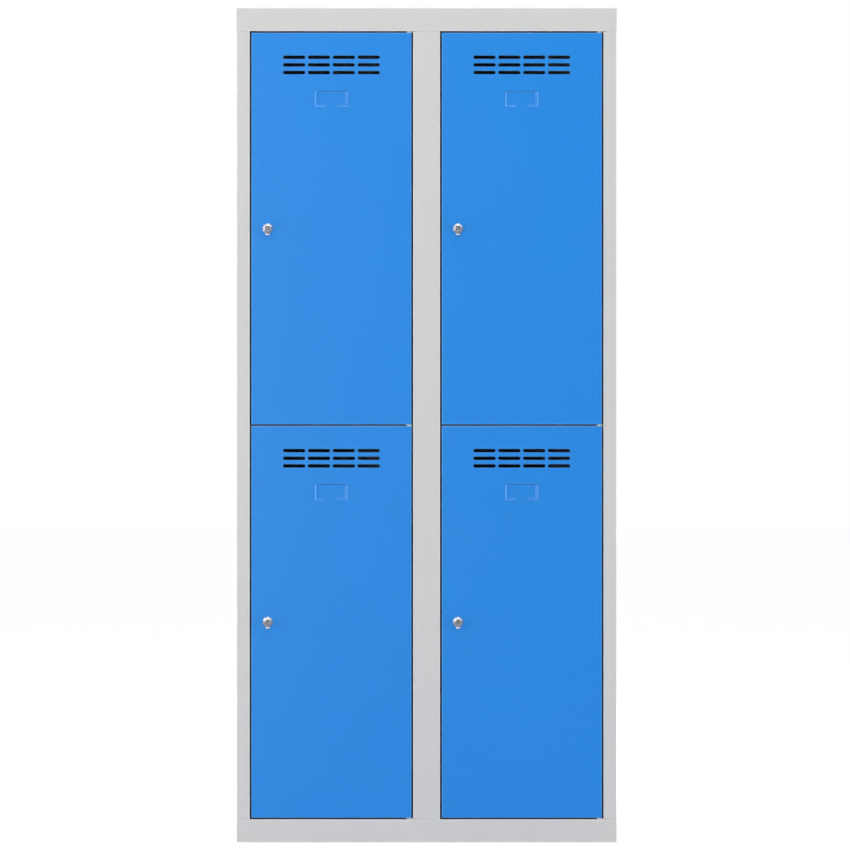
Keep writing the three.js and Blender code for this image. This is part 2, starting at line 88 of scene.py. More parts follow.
POST_RETURN = 22 * MM  # posts and rails fold back this far
POST_LIP = 10 * MM
REAR_FLANGE = 15 * MM
FOOT_FLANGE = 20 * MM
DOOR_LIP = 12 * MM

print("sheet", SHEET / MM, "mm, folds", BEND / MM, "mm at the middle of the sheet")


# %% Where the frame puts each node
def reach(node):
    """The lowest and the highest corner of a CAD node, as two arrays in metres."""
    low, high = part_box(node)
    return np.array(low), np.array(high)


carcass_low, carcass_high = reach("top_panel")
FACE = carcass_low[1]  # front of the posts, the rails and the doors
HEIGHT = carcass_high[2]
RAIL_TOP = reach("bottom_panel")[1][2]
RAIL_BOTTOM = HEIGHT - RAIL_TOP
DOORS = [f"{tier}_{side}" for tier in ("lower", "upper") for side in ("left", "right")]
door_low, door_high = reach("lower_left_door_panel")
TIER_GAP = door_low[2] - RAIL_TOP
LEVELS = {
    "bottom": RAIL_TOP + TIER_GAP / 2,
    "middle": HEIGHT / 2,
    "top": RAIL_BOTTOM - TIER_GAP / 2,
}
print("doors", ((door_high - door_low) / MM).round(2), "mm, face at", round(FACE, 4))

# %% [markdown]
# ## Surfaces from grids
#
# Every piece below is a grid of points worked out by a formula, or a few grids that share their
# borders. Modelling by hand or cutting solids from each other would also do, but a formula keeps
# the folds exact and the mesh even. A sheet is only its middle surface here. Solidify gives it
# thickness to both sides, so a fold keeps one centre for its inner and outer face, as in a press.

# %% Patches: grids of points with the cells that are kept
TINY = 1e-7


def whole(points):
    """A grid of points, rows by columns by 3, with all of its cells kept."""
    return points, np.ones((points.shape[0] - 1, points.shape[1] - 1), bool)


def cut_away(points, boxes):
    """A grid without the cells whose middle lies in any of the boxes, each a low and a high corner."""
    middle = (points[:-1, :-1] + points[1:, :-1] + points[:-1, 1:] + points[1:, 1:]) / 4
    keep = np.ones(middle.shape[:2], bool)
    for low, high in boxes:
        keep &= ~np.all((middle > np.array(low)) & (middle < np.array(high)), axis=-1)
    return points, keep


def grid_lines(*places):
    """The places of grid lines, in order, each of them once."""
    return np.unique(np.round(np.concatenate([np.atleast_1d(p) for p in places]), 7))


def placed(patches, axes, origin=(0, 0, 0), signs=(1, 1, 1)):
    """Patches drawn in their own three directions, set into the frame. Direction i becomes frame
    axis axes[i], turned round where its sign is -1, and counts from the origin."""
    moved = []
    for points, keep in patches:
        there = np.empty_like(points)
        there[..., list(axes)] = points * np.array(signs)
        moved.append((there + np.array(origin), keep))
    return moved


# %% From patches to a finished piece
def mesh_of(name, patches):
    """One mesh from several grids. Cell (i, j) becomes a quad, corners that fall on one another
    become one vertex, and the faces are then turned to agree with their neighbours."""
    vertices, quads, start = [], [], 0
    for points, keep in patches:
        rows, columns = points.shape[:2]
        number = start + np.arange(rows * columns).reshape(rows, columns)
        corners = [number[:-1, :-1], number[:-1, 1:], number[1:, 1:], number[1:, :-1]]
        quads.append(np.stack(corners, -1)[keep])
        vertices.append(points.reshape(-1, 3))
        start += rows * columns
    used, quads = np.unique(np.concatenate(quads), return_inverse=True)
    mesh = bpy.data.meshes.new(name)
    mesh.from_pydata(np.concatenate(vertices)[used], [], quads.reshape(-1, 4))

    shell = bmesh.new()
    shell.from_mesh(mesh)
    bmesh.ops.remove_doubles(shell, verts=shell.verts, dist=2e-6)
    bmesh.ops.recalc_face_normals(shell, faces=shell.faces)
    shell.to_mesh(mesh)
    shell.free()
    mesh.shade_smooth()
    return mesh


def finished(node, patches, finish, thickness=0.0, edge=EDGE_ROUND):
    """The finished piece that stands for a CAD node: its surface, thickness to both sides if it is
    a sheet, rounded edges, and normals that let the large faces stay flat."""
    piece = bpy.data.objects.new(f"{node}_finished", mesh_of(node, patches))
    bpy.context.scene.collection.objects.link(piece)
    if thickness:
        solid = piece.modifiers.new("sheet", "SOLIDIFY")
        solid.thickness = thickness
        solid.offset = 0
        solid.use_even_offset = True
    if edge:
        rounding = piece.modifiers.new("edges", "BEVEL")
        rounding.width = edge
        rounding.segments = 2
        rounding.limit_method = "ANGLE"
        rounding.angle_limit = math.radians(40)
    normals = piece.modifiers.new("normals", "WEIGHTED_NORMAL")
    normals.keep_sharp = True
    material = bpy.data.materials.get(finish) or bpy.data.materials.new(finish)
    piece.data.materials.append(material)
    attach(piece, frame["nodes"][node]["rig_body"])
    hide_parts(node)
    return piece


# %% [markdown]
# ## Folded sheets
#
# The posts, rails and panels are long folded profiles. A press brake bends them one line at a time,
# so a profile is a path of straight runs joined by arcs of one radius. Carried straight along the
# third axis it gives the whole part, and cells that a notch or a corner cut would remove are left
# out. Sweeping a curve object would also work, but it couldn't leave the notches out.


# %% A bent line and a sheet drawn along it
def bent(path, radius=BEND, steps=6):
    """The line down the middle of a folded sheet. With h half the turn at a corner, the arc starts
    radius * tan(h) before it. A corner that doesn't turn stays a plain point."""
    path = np.array(path, float)
    line = [path[:1]]
    for before, corner, after in zip(path[:-2], path[1:-1], path[2:]):
        a = (corner - before) / np.linalg.norm(corner - before)
        b = (after - corner) / np.linalg.norm(after - corner)
        turn = math.atan2(a[0] * b[1] - a[1] * b[0], a @ b)
        if abs(turn) < 1e-6:
            line.append(corner[None])
            continue
        spoke = np.array([a[1], -a[0]]) * np.sign(turn)
        centre = corner - a * radius * math.tan(abs(turn) / 2) - spoke * radius
        angles = np.linspace(0, turn, steps + 1)
        c, s = np.cos(angles), np.sin(angles)
        arc = np.stack([c * spoke[0] - s * spoke[1], s * spoke[0] + c * spoke[1]], -1)
        line.append(centre + radius * arc)
    line.append(path[-1:])
    return np.concatenate(line)


def drawn_along(line, places, axes):
    """Repeats a line, given in two of the frame's axes, at places along the third."""
    points = np.empty((len(places), len(line), 3))
    points[..., axes[0]] = line[:, 0]
    points[..., axes[1]] = line[:, 1]
    points[..., 3 - sum(axes)] = np.asarray(places)[:, None]
    return points


X, Y, Z = 0, 1, 2
FAR = 10.0  # past everything
print("a right-angled fold has", len(bent([(0, 0), (1, 0), (1, 1)])), "points")

# %% [markdown]
# ### Sides and posts
#
# Each side is one sheet: a rear flange, the side wall, the post's face, its return and a last lip.
# The rails pass in front of its ends, so the post stops short of them. Where a hinge plate comes
# out, a narrow notch runs round the post's corner.

# %% Notches for the hinge plates
PLATE = 1.5 * MM
NOTCH_GAP = 0.4 * MM
NOTCH_FACE = 5 * MM
pin_low, pin_high = reach("left_middle_hinge_pin")
PIN_INSET = (pin_low[1] + pin_high[1]) / 2 - FACE
PLATE_RADIUS = PIN_INSET - SHEET - SEAM
NOTCH_BACK = FACE + PIN_INSET + PLATE_RADIUS + NOTCH_GAP


def notch_heights():
    """The lowest and highest edge of each notch. The end ones run out into the rails."""
    half = PLATE / 2 + NOTCH_GAP
    ends = {"bottom": (RAIL_TOP - MM, None), "top": (None, RAIL_BOTTOM + MM), "middle": (None, None)}
    for level, (low, high) in ends.items():
        yield (low or LEVELS[level] - half, high or LEVELS[level] + half)


def notch_boxes(edge):
    """The space that each notch takes out of a post whose hinge edge is at x = edge."""
    boxes = []
    for low, high in notch_heights():
        boxes.append(((edge - MM, -FAR, low), (edge + FOLD, NOTCH_BACK, high)))
        boxes.append(((edge - MM, -FAR, low), (edge + NOTCH_FACE, FACE + FOLD, high)))
    return boxes


notch_lines = [z for pair in notch_heights() for z in pair if RAIL_TOP < z < RAIL_BOTTOM]
post_ends = [RAIL_TOP + SEAM, RAIL_BOTTOM - SEAM]
print("notches between", [round(z, 5) for z in notch_lines])


# %% Side panels
def side_panel(node, hand, hinged):
    """Path in x and y: rear flange, wall, post face, return, lip. The foot is a second fold, along
    the bottom of the wall, between the front and the rear corner."""
    low, high = reach(node)
    outer, inner = (low[0], high[0]) if hand < 0 else (high[0], low[0])
    wall, edge = outer - hand * HALF, inner + hand * HALF
    front, back = low[1] + HALF, high[1] - HALF
    behind, seat = low[1] + POST_RETURN - HALF, low[1] + FOLD + SEAM
    foot_front, foot_back = low[1] + FOOT_FLANGE + 2 * FOLD, high[1] - 2 * REAR_FLANGE
    path = [
        (wall - hand * REAR_FLANGE, back),
        (wall, back),
        (wall, foot_back),
        (wall, foot_front),
        (wall, seat),
        (wall, front),
        (inner + hand * NOTCH_FACE, front),
        (edge, front),
        (edge, NOTCH_BACK),
        (edge, behind),
        (edge + hand * POST_LIP, behind),
    ]
    heights = grid_lines(low[2], low[2] + FOLD, post_ends, high[2], notch_lines if hinged else [])
    past_rail = ((-FAR, -FAR, post_ends[1]), (FAR, seat, FAR))
    past_floor = ((-FAR, -FAR, -FAR), (FAR, seat, post_ends[0]))
    clear = abs(wall) - HALF
    behind_rail = low[1] + POST_RETURN + SEAM
    boxes = [
        past_rail,
        past_floor,
        ((-clear, -FAR, post_ends[1]), (clear, behind_rail, FAR)),
        ((-clear, -FAR, -FAR), (clear, behind_rail, post_ends[0])),
        ((-FAR, foot_front, -FAR), (FAR, foot_back, low[2] + FOLD)),
    ]
    if hinged:
        boxes += notch_boxes(inner)
    foot = bent([(wall, low[2] + FOLD), (wall, low[2] + HALF), (wall - hand * FOOT_FLANGE, low[2] + HALF)])
    patches = [
        cut_away(drawn_along(bent(path), heights, (X, Y)), boxes),
        whole(drawn_along(foot, [foot_front, foot_back], (X, Z))),
    ]
    return finished(node, patches, "carcass_grey", SHEET)


for node, hand in (("left_side_panel", -1), ("right_side_panel", 1)):
    side = side_panel(node, hand, hinged=hand > 0)
    print(side.name, len(side.data.polygons), "faces")


# %% Middle post and partition
def centre_post(node):
    """Path in x and y: a box section whose two lips meet behind, with the partition between them."""
    low, high = reach(node)
    front, behind, edge = low[1] + HALF, high[1] - HALF, high[0] - HALF
    lip_end = HALF + SEAM
    path = [
        (-lip_end, behind),
        (-edge, behind),
        (-edge, NOTCH_BACK),
        (-edge, front),
        (low[0] + NOTCH_FACE, front),
        (edge, front),
        (edge, behind),
        (lip_end, behind),
    ]
    points = drawn_along(bent(path), grid_lines(low[2], high[2], notch_lines), (X, Y))
    return finished(node, [cut_away(points, notch_boxes(low[0]))], "carcass_grey", SHEET)


def partition(node):
    """Path in x and y: a flat sheet with a flange along its back. Its front top corner is cut to
    clear the rail."""
    low, high = reach(node)
    middle, back, behind_rail = low[0] + HALF, high[1] - HALF, FACE + POST_RETURN + SEAM
    path = [(middle, low[1]), (middle, behind_rail), (middle, back), (high[0], back)]
    points = drawn_along(bent(path), [low[2], post_ends[1], high[2]], (X, Y))
    corner = ((-FAR, -FAR, post_ends[1]), (FAR, behind_rail, FAR))
    return finished(node, [cut_away(points, [corner])], "carcass_grey", SHEET)


print(centre_post("centre_post").name, "and", partition("centre_partition").name)


# %% Top and bottom panels
def across_panel(node, path, cuts):
    """A full-width folded sheet, path in y and z, with the cells in the cuts left out."""
    low, high = reach(node)
    inside = high[0] - SHEET - SEAM
    corner = high[0] - REAR_FLANGE - SHEET
    lines = grid_lines(low[0], high[0], [-inside, inside, -corner, corner])
    boxes = []
    for clear, below, behind in cuts(inside, corner):
        boxes.append(((clear, behind, -FAR), (FAR, FAR, below)))
        boxes.append(((-FAR, behind, -FAR), (-clear, FAR, below)))
    points = drawn_along(bent(path), lines, (Y, Z))
    return finished(node, [cut_away(points, boxes)], "carcass_grey", SHEET)


top_back = reach("top_panel")[1][1]
rail_mid = reach("top_panel")[0][2] + HALF
top_path = [
    (FACE + POST_RETURN, rail_mid),
    (FACE + HALF, rail_mid),
    (FACE + HALF, HEIGHT - HALF),
    (top_back, HEIGHT - HALF),
]
floor_low, floor_high = reach("bottom_panel")
corner_cut = floor_high[1] - SHEET - SEAM
floor_path = [
    (FACE + FOOT_FLANGE, floor_low[2] + HALF),
    (FACE + HALF, floor_low[2] + HALF),
    (FACE + HALF, RAIL_TOP - HALF),
    (corner_cut, RAIL_TOP - HALF),
    (floor_high[1], RAIL_TOP - HALF),
]
across_panel("top_panel", top_path, lambda inside, corner: [(inside, HEIGHT - 2 * FOLD, FACE + FOLD - TINY)])
across_panel(
    "bottom_panel",
    floor_path,
    lambda inside, corner: [(inside, FAR, FACE + FOLD - TINY), (corner, FAR, corner_cut)],
)
print("rails", round(RAIL_TOP / MM, 2), "mm high")

# %% [markdown]
# ## Features in a flat face
#
# Vent slots, holes and weld marks sit in flat sheet. Booleans could cut them, at the price of long
# thin triangles that shade badly. Instead a block of grid cells is left out round each feature and
# filled with rings that close in from the block's square border to the feature's own outline.


# %% Rings round a slot, a hole or a dimple
def flat(us, vs, blocks=()):
    """A flat grid at depth 0 on the lines us and vs, without the cells inside the blocks."""
    points = np.zeros((len(vs), len(us), 3))
    points[..., 0] = us
    points[..., 1] = np.asarray(vs)[:, None]
    return cut_away(points, [((u0, v0, -1), (u1, v1, 1)) for u0, u1, v0, v1 in blocks])


def border_of(us, vs, block):
    """The grid's corners round a block of cells, once round and back to the first."""
    u0, u1, v0, v1 = block
    across = us[(us > u0 - TINY) & (us < u1 + TINY)]
    up = vs[(vs > v0 - TINY) & (vs < v1 + TINY)]
    sides = [
        np.stack([across, np.full_like(across, up[0])], -1),
        np.stack([np.full_like(up, across[-1]), up], -1)[1:],
        np.stack([across[::-1], np.full_like(across, up[-1])], -1)[1:],
        np.stack([np.full_like(up, across[0]), up[::-1]], -1)[1:],
    ]
    return np.concatenate(sides)


def closing_in(border, centre, length, height, rings):
    """Rings from a border to a round-ended slot. Each border point looks at the nearest point of
    the slot's core line, and a ring lies at height / 2 plus its own distance from that point.
    rings lists that distance and a depth. A slot as long as it is high is a circle."""
    core = np.clip(border[:, 0] - centre[0], -(length - height) / 2, (length - height) / 2)
    core = np.stack([core + centre[0], np.full_like(core, centre[1])], -1)
    away = border - core
    away /= np.linalg.norm(away, axis=1, keepdims=True)
    shapes = [np.column_stack([border, np.zeros(len(border))])]
    for outside, depth in rings:
        outline = core + away * (height / 2 + outside)
        shapes.append(np.column_stack([outline, np.full(len(border), depth)]))
    return whole(np.stack(shapes))


def block_lines(centre, half, count):
    """Evenly spaced grid lines from centre - half to centre + half."""
    return np.linspace(centre - half, centre + half, count + 1)


# %% [markdown]
# ### Pans
#
# A door and a shelf are pans: a face with all four edges folded back. The face is a grid, and the
# folds are rings round it. Each ring keeps the face's border points and moves them out and back
# along a quarter circle, and the corner points move both ways at once, which gives a mitred corner
# as a press and a grinder leave it.


# %% A pan
def pan(us, vs, depth, lip=0.0, blocks=()):
    """Patches of a pan in its own directions: u and v across the face, and depth behind the middle
    of its sheet. us and vs are the grid lines of the flat part. The walls stop short in the corners.
    With a lip, the walls at the first and last u fold in again."""
    patches = [flat(us, vs, blocks)]
    border = border_of(us, vs, (us[0], us[-1], vs[0], vs[-1]))
    outward = np.stack([
        (border[:, 0] > us[-1] - TINY) * 1.0 - (border[:, 0] < us[0] + TINY),
        (border[:, 1] > vs[-1] - TINY) * 1.0 - (border[:, 1] < vs[0] + TINY),
    ], -1)
    angles = np.linspace(0, math.pi / 2, 7)
    rings = [
        np.column_stack(
            [border + outward * BEND * math.sin(a), np.full(len(border), BEND * (1 - math.cos(a)))]
        )
        for a in angles
    ]
    patches.append(whole(np.stack(rings)))
    wall_us = np.concatenate([[us[0] - BEND], us[1:-1], [us[-1] + BEND]])
    wall_vs = np.concatenate([[vs[0] - BEND], vs[1:-1], [vs[-1] + BEND]])
    end = depth - HALF
    stop = end - BEND - HALF
    deep = grid_lines([BEND, stop])
    for v in (wall_vs[0], wall_vs[-1]):
        patches += placed([flat(wall_us, deep)], (0, 2, 1), (0, v, 0))
        patches += placed([flat(us[1:-1], [stop, end])], (0, 2, 1), (0, v, 0))
    for u, inward in ((wall_us[0], 1), (wall_us[-1], -1)):
        patches += placed([flat(wall_vs, deep)], (1, 2, 0), (u, 0, 0))
        line = [(u, stop), (u, end)]
        if lip:
            line = bent([(u, stop), (u, end - HALF), (u + inward * (lip - HALF), end - HALF)])
        patches.append(whole(drawn_along(np.array(line), vs[1:-1], (0, 2))))
    return patches


# %% [markdown]
# ### Doors
#
# A door pan has twelve punched vent slots, a slit for the name card and the lock's hole. The card
# holder is two L-shaped lips pressed out under the slit. Each lip is a bent line carried round an
# L, with a mitred corner.

# %% Sizes on a door
RELIEF = 3 * MM  # the walls stop this far before a corner
VENT_LENGTH, VENT_HEIGHT = 48 * MM, 7.5 * MM
VENT_PITCH = (53.6 * MM, 16.5 * MM)
VENT_COLUMNS, VENT_ROWS = 4, 3
VENT_TOP = 53 * MM
HOLDER_TOP = 125.8 * MM  # door's top to the slit
HOLDER_HALF, HOLDER_HEIGHT = 35.7 * MM, 34 * MM
HOLDER_FOOT, HOLDER_ARM, HOLDER_PROUD = 23 * MM, 7 * MM, 1.9 * MM
LIP_BELOW_SLIT = 1.8 * MM
SLIT_HEIGHT, SLIT_MARGIN = 0.8 * MM, 4.2 * MM
LOCK_HOLE = 8.3 * MM
LOCK_BLOCK = 14 * MM

door_size = door_high - door_low
DOOR_WIDTH, DOOR_HEIGHT = door_size[0], door_size[2]
DOOR_DEPTH = 20 * MM
nut_low, nut_high = reach("lower_left_lock_nut")
LOCK_PLACE = ((nut_low + nut_high) / 2 - door_low)[[0, 2]]
PIN_FROM_EDGE = door_high[0] - (pin_low[0] + pin_high[0]) / 2
print("lock at", (LOCK_PLACE / MM).round(2), "mm on the door, pin", round(PIN_FROM_EDGE / MM, 2), "mm in")


# %% Vent slots
def vents():
    """The middle and the block of cells of each slot, and the grid lines that they need."""
    middle, top = DOOR_WIDTH / 2, DOOR_HEIGHT - VENT_TOP
    columns = middle + (np.arange(VENT_COLUMNS) - (VENT_COLUMNS - 1) / 2) * VENT_PITCH[0]
    rows = top - np.arange(VENT_ROWS) * VENT_PITCH[1]
    core = (VENT_LENGTH - VENT_HEIGHT) / 2
    beyond = np.linspace(core, VENT_PITCH[0] / 2, 5)
    us = grid_lines((columns[:, None] + beyond).ravel(), (columns[:, None] - beyond).ravel())
    vs = grid_lines((rows[:, None] + np.linspace(-0.5, 0.5, 9) * VENT_PITCH[1]).ravel())
    half_u, half_v = VENT_PITCH[0] / 2, VENT_PITCH[1] / 2
    slots = [((u, v), (u - half_u, u + half_u, v - half_v, v + half_v)) for u in columns for v in rows]
    return slots, us, vs


# %% Card holder
def holder_lip(hand):
    """A bent line carried round an L. At distance t from the L's outer edge the path's ends move
    t inwards, and its corner moves t both ways."""
    outer = DOOR_WIDTH / 2 + hand * HOLDER_HALF
    bottom = DOOR_HEIGHT - HOLDER_TOP - HOLDER_HEIGHT
    corners = np.array([
        (outer, bottom + HOLDER_HEIGHT - LIP_BELOW_SLIT),
        (outer, bottom),
        (outer - hand * HOLDER_FOOT, bottom),
    ])
    inwards = np.array([(-hand, 0), (-hand, 1), (0, 1)])
    crown = HALF - HOLDER_PROUD
    slope = HOLDER_PROUD
    line = bent([(HALF, HALF), (HALF + slope, crown), (2 * slope, crown), (HOLDER_ARM, crown * 0.4)], MM, 5)
    points = np.empty((len(corners), len(line), 3))
    points[..., :2] = corners[:, None] + inwards[:, None] * line[None, :, :1]
    points[..., 2] = line[:, 1] - HALF
    return whole(points)


# %% Door panels
def door_panel(node):
    """A pan with slots, holes and card holder. The lips of the holder stand in front of the face."""
    low, high = reach(node)
    slots, vent_us, vent_vs = vents()
    lock_us = block_lines(LOCK_PLACE[0], LOCK_BLOCK, 12)
    lock_vs = block_lines(LOCK_PLACE[1], LOCK_BLOCK, 12)
    slit_u = HOLDER_HALF - SLIT_MARGIN
    slit_v = DOOR_HEIGHT - HOLDER_TOP
    us = grid_lines(
        [FOLD, FOLD + RELIEF, DOOR_WIDTH - FOLD - RELIEF, DOOR_WIDTH - FOLD],
        vent_us,
        lock_us,
        [DOOR_WIDTH / 2 - slit_u, DOOR_WIDTH / 2 + slit_u],
    )
    vs = grid_lines(
        [FOLD, FOLD + RELIEF, DOOR_HEIGHT - FOLD - RELIEF, DOOR_HEIGHT - FOLD],
        vent_vs,
        lock_vs,
        [slit_v - SLIT_HEIGHT, slit_v],
    )
    lock_block = (lock_us[0], lock_us[-1], lock_vs[0], lock_vs[-1])
    slit = (DOOR_WIDTH / 2 - slit_u, DOOR_WIDTH / 2 + slit_u, slit_v - SLIT_HEIGHT, slit_v)
    blocks = [block for _, block in slots] + [lock_block, slit]
    patches = pan(us, vs, DOOR_DEPTH, DOOR_LIP, blocks)
    for centre, block in slots:
        rings = [(0.9 * MM, 0), (0, 0)]
        patches.append(closing_in(border_of(us, vs, block), centre, VENT_LENGTH, VENT_HEIGHT, rings))
    border = border_of(us, vs, lock_block)
    patches.append(closing_in(border, LOCK_PLACE, 2 * LOCK_HOLE, 2 * LOCK_HOLE, [(0.9 * MM, 0), (0, 0)]))
    patches += [holder_lip(-1), holder_lip(1)]
    patches = placed(patches, (X, Z, Y), (low[0], FACE + HALF, low[2]))
    return finished(node, patches, "door_blue", SHEET)


for prefix in DOORS:
    panel = door_panel(f"{prefix}_door_panel")
    print(panel.name, len(panel.data.polygons), "faces")


# %% Door stiffeners
HAT_FLANGE = 12 * MM


def stiffener(node):
    """Path in x and y: flange, web, crown, web, flange of a hat section behind the door's face."""
    low, high = reach(node)
    near, far = low[1] + HALF, high[1] - HALF
    left, right = low[0] + HAT_FLANGE, high[0] - HAT_FLANGE
    path = [(low[0], near), (left, near), (left, far), (right, far), (right, near), (high[0], near)]
    points = drawn_along(bent(path), [low[2], high[2]], (X, Y))
    return finished(node, [whole(points)], "door_blue", SHEET)


for prefix in DOORS:
    stiffener(f"{prefix}_door_stiffener")
print("stiffeners:", len(DOORS))


# %% Shelves
def shelf(node):
    """A pan with its face up and its open side down."""
    low, high = reach(node)
    us = grid_lines([FOLD, FOLD + RELIEF], [high[0] - low[0] - FOLD - RELIEF, high[0] - low[0] - FOLD])
    vs = grid_lines([FOLD, FOLD + RELIEF], [high[1] - low[1] - FOLD - RELIEF, high[1] - low[1] - FOLD])
    patches = pan(us, vs, high[2] - low[2])
    patches = placed(patches, (X, Y, Z), (low[0], low[1], high[2] - HALF), (1, 1, -1))
    return finished(node, patches, "carcass_grey", SHEET)


for side in ("left", "right"):
    shelf(f"{side}_shelf")
print("shelves: 2")

# %% [markdown]
# ### Back panel
#
# The back is one flat sheet, spot-welded to the flanges in front of it. Each weld leaves a shallow
# round dimple, which the coating doesn't hide. A bump texture could fake
# them, but as rings in the grid they also catch the light from the side.

# %% Spot welds
WELD_PITCH = 150 * MM
WELD_BLOCK = 7 * MM
WELD_RADIUS = 5 * MM
WELD_DEPTH = 0.5 * MM


def weld_rings(border, centre):
    """Rings of a spot weld: a flat edge, then a dish that is deepest at its middle."""
    share = np.array([1.0, 0.92, 0.8, 0.6, 0.3, 0.0])
    depth = WELD_DEPTH * np.array([0.0, 0.15, 0.85, 0.97, 1.0, 1.0])
    rings = [((s - 1) * WELD_RADIUS, d) for s, d in zip(share, depth)]
    return closing_in(border, centre, 2 * WELD_RADIUS, 2 * WELD_RADIUS, rings)


def back_panel(node):
    """A flat sheet in x and z with welds down both edges and the middle. It goes up behind the top
    panel's edge, so that no light comes through the joint. Its depth points into the locker."""
    low, high = reach(node)
    inset = REAR_FLANGE / 2
    half_flange = (reach("centre_partition")[1][0] + SHEET) / 2
    columns = np.array([low[0] + inset, half_flange, high[0] - inset])
    count = round((high[2] - low[2] - 2 * inset) / WELD_PITCH)
    rows = np.linspace(low[2] + 5 * inset, high[2] - 4 * inset, count)
    span = np.linspace(-WELD_BLOCK, WELD_BLOCK, 5)
    us = grid_lines([low[0], high[0]], (columns[:, None] + span).ravel())
    vs = grid_lines([low[2], HEIGHT], (rows[:, None] + span).ravel())
    welds = [(u, v) for u in columns for v in rows]
    blocks = [(u - WELD_BLOCK, u + WELD_BLOCK, v - WELD_BLOCK, v + WELD_BLOCK) for u, v in welds]
    patches = [flat(us, vs, blocks)]
    patches += [weld_rings(border_of(us, vs, block), weld) for weld, block in zip(welds, blocks)]
    patches = placed(patches, (X, Z, Y), (0, high[1] - HALF, 0), (1, 1, -1))
    return finished(node, patches, "carcass_grey", SHEET)


print(back_panel("back_panel").name, "done")

# %% [markdown]
# ## Turned and lofted parts
#
# Pins, bushes and locks are turned on a lathe or cast, so they are stacks of rings. One kind of
# ring covers them all: a rounded rectangle, which is a circle when its corners use its whole width.
# With the same number of points in each, a round shaft can run straight into a square shank.

# %% Rings and stacks
QUARTER = 12
HOLD = 0.2 * MM


def ring(half_u, half_v, corner):
    """A rounded rectangle as a closed ring: four quarter circles, each centred its own radius in
    from two sides."""
    turn = np.linspace(0, math.pi / 2, QUARTER + 1)
    quarters = np.arange(4)[:, None] * math.pi / 2
    angle = (quarters + turn).ravel()
    sign_u = np.sign(np.cos(quarters + math.pi / 4)).repeat(QUARTER + 1)
    sign_v = np.sign(np.sin(quarters + math.pi / 4)).repeat(QUARTER + 1)
    loop = np.stack([
        sign_u * (half_u - corner) + corner * np.cos(angle),
        sign_v * (half_v - corner) + corner * np.sin(angle),
    ], -1)
    return np.concatenate([loop, loop[:1]])


def held(sections):
    """The sections with one more close to each end of every long step between two of them. These
    keep the shading of a rounded edge from spreading over the flat beside it."""
    kept = [sections[0]]
    for before, after in zip(sections[:-1], sections[1:]):
        before, after = np.array(before), np.array(after)
        step = np.abs(after - before).max()
        if step > 4 * HOLD:
            kept += [before + (after - before) * share for share in (HOLD / step, 1 - HOLD / step)]
        kept.append(after)
    return kept


def stacked(sections):
    """Rings one behind another. A section is two half widths, a corner radius and a place along
    the axis."""
    rows = []
    for half_u, half_v, corner, along in held(sections):
        loop = ring(half_u, half_v, corner)
        rows.append(np.column_stack([loop, np.full(len(loop), along)]))
    return whole(np.stack(rows))


def turned(profile):
    """A profile of radius and place along the axis, turned round it."""
    return stacked([(radius, radius, radius, along) for radius, along in profile])


def quarter_round(radius, along, size, steps=5):
    """A profile's rounded shoulder: a quarter circle from a face to a side."""
    angles = np.linspace(0, math.pi / 2, steps)
    return [(radius - size + size * math.sin(a), along + size - size * math.cos(a)) for a in angles]


# %% Hinge pins and bushes
PIN_RADIUS = 2.5 * MM
PIN_CHAMFER = 0.5 * MM
HEAD_RADIUS, HEAD_HEIGHT = 4 * MM, 0.5 * MM
BORE = 2.8 * MM
BUSH_RADIUS = 4.3 * MM
COLLAR_RADIUS, COLLAR_HEIGHT = 5.2 * MM, 0.5 * MM


def hinge_pin(node, level):
    """A pin with chamfered ends, and a riveted head on the side that has no door."""
    low, high = reach(node)
    axis = (low + high) / 2
    shank = [(0, low[2]), (PIN_RADIUS - PIN_CHAMFER, low[2]), (PIN_RADIUS, low[2] + PIN_CHAMFER)]
    shank += [(PIN_RADIUS, high[2] - PIN_CHAMFER), (PIN_RADIUS - PIN_CHAMFER, high[2]), (0, high[2])]
    if level == "bottom":
        head = [(0, low[2]), (HEAD_RADIUS, low[2]), (HEAD_RADIUS, low[2] + HEAD_HEIGHT)]
        shank = head + [(PIN_RADIUS, low[2] + HEAD_HEIGHT)] + shank[3:]
    if level == "top":
        head = [(PIN_RADIUS, high[2] - HEAD_HEIGHT), (HEAD_RADIUS, high[2] - HEAD_HEIGHT)]
        shank = shank[:3] + head + [(HEAD_RADIUS, high[2]), (0, high[2])]
    patches = placed([turned(shank)], (X, Y, Z), (axis[0], axis[1], 0))
    return finished(node, patches, "zinc_plate", edge=0.12 * MM)


def bush(node, collar_up):
    """A flanged sleeve round the pin, as one closed profile."""
    low, high = reach(node)
    axis = (low + high) / 2
    inner, outer = (low[2], high[2]) if collar_up else (high[2], low[2])
    under = outer - math.copysign(COLLAR_HEIGHT, outer - inner)
    profile = [(BORE, inner), (BUSH_RADIUS, inner), (BUSH_RADIUS, under)]
    profile += [(COLLAR_RADIUS, under), (COLLAR_RADIUS, outer), (BORE, outer), (BORE, inner)]
    patches = placed([turned(profile)], (X, Y, Z), (axis[0], axis[1], 0))
    return finished(node, patches, "nylon", edge=0.12 * MM)


for side in ("left", "right"):
    for level in LEVELS:
        hinge_pin(f"{side}_{level}_hinge_pin", level)
for prefix in DOORS:
    bush(f"{prefix}_top_bush", collar_up=True)
    bush(f"{prefix}_bottom_bush", collar_up=False)
print("hinge pins: 6, bushes: 8")


# %% [markdown]
# ### Plates with a hole
#
# Hinge plates, lock nuts and cams are cut from flat bar and have one hole. Seen from the middle of
# the hole, every point of the outline lies in its own direction, so one ring of quads joins the
# outline to the hole.


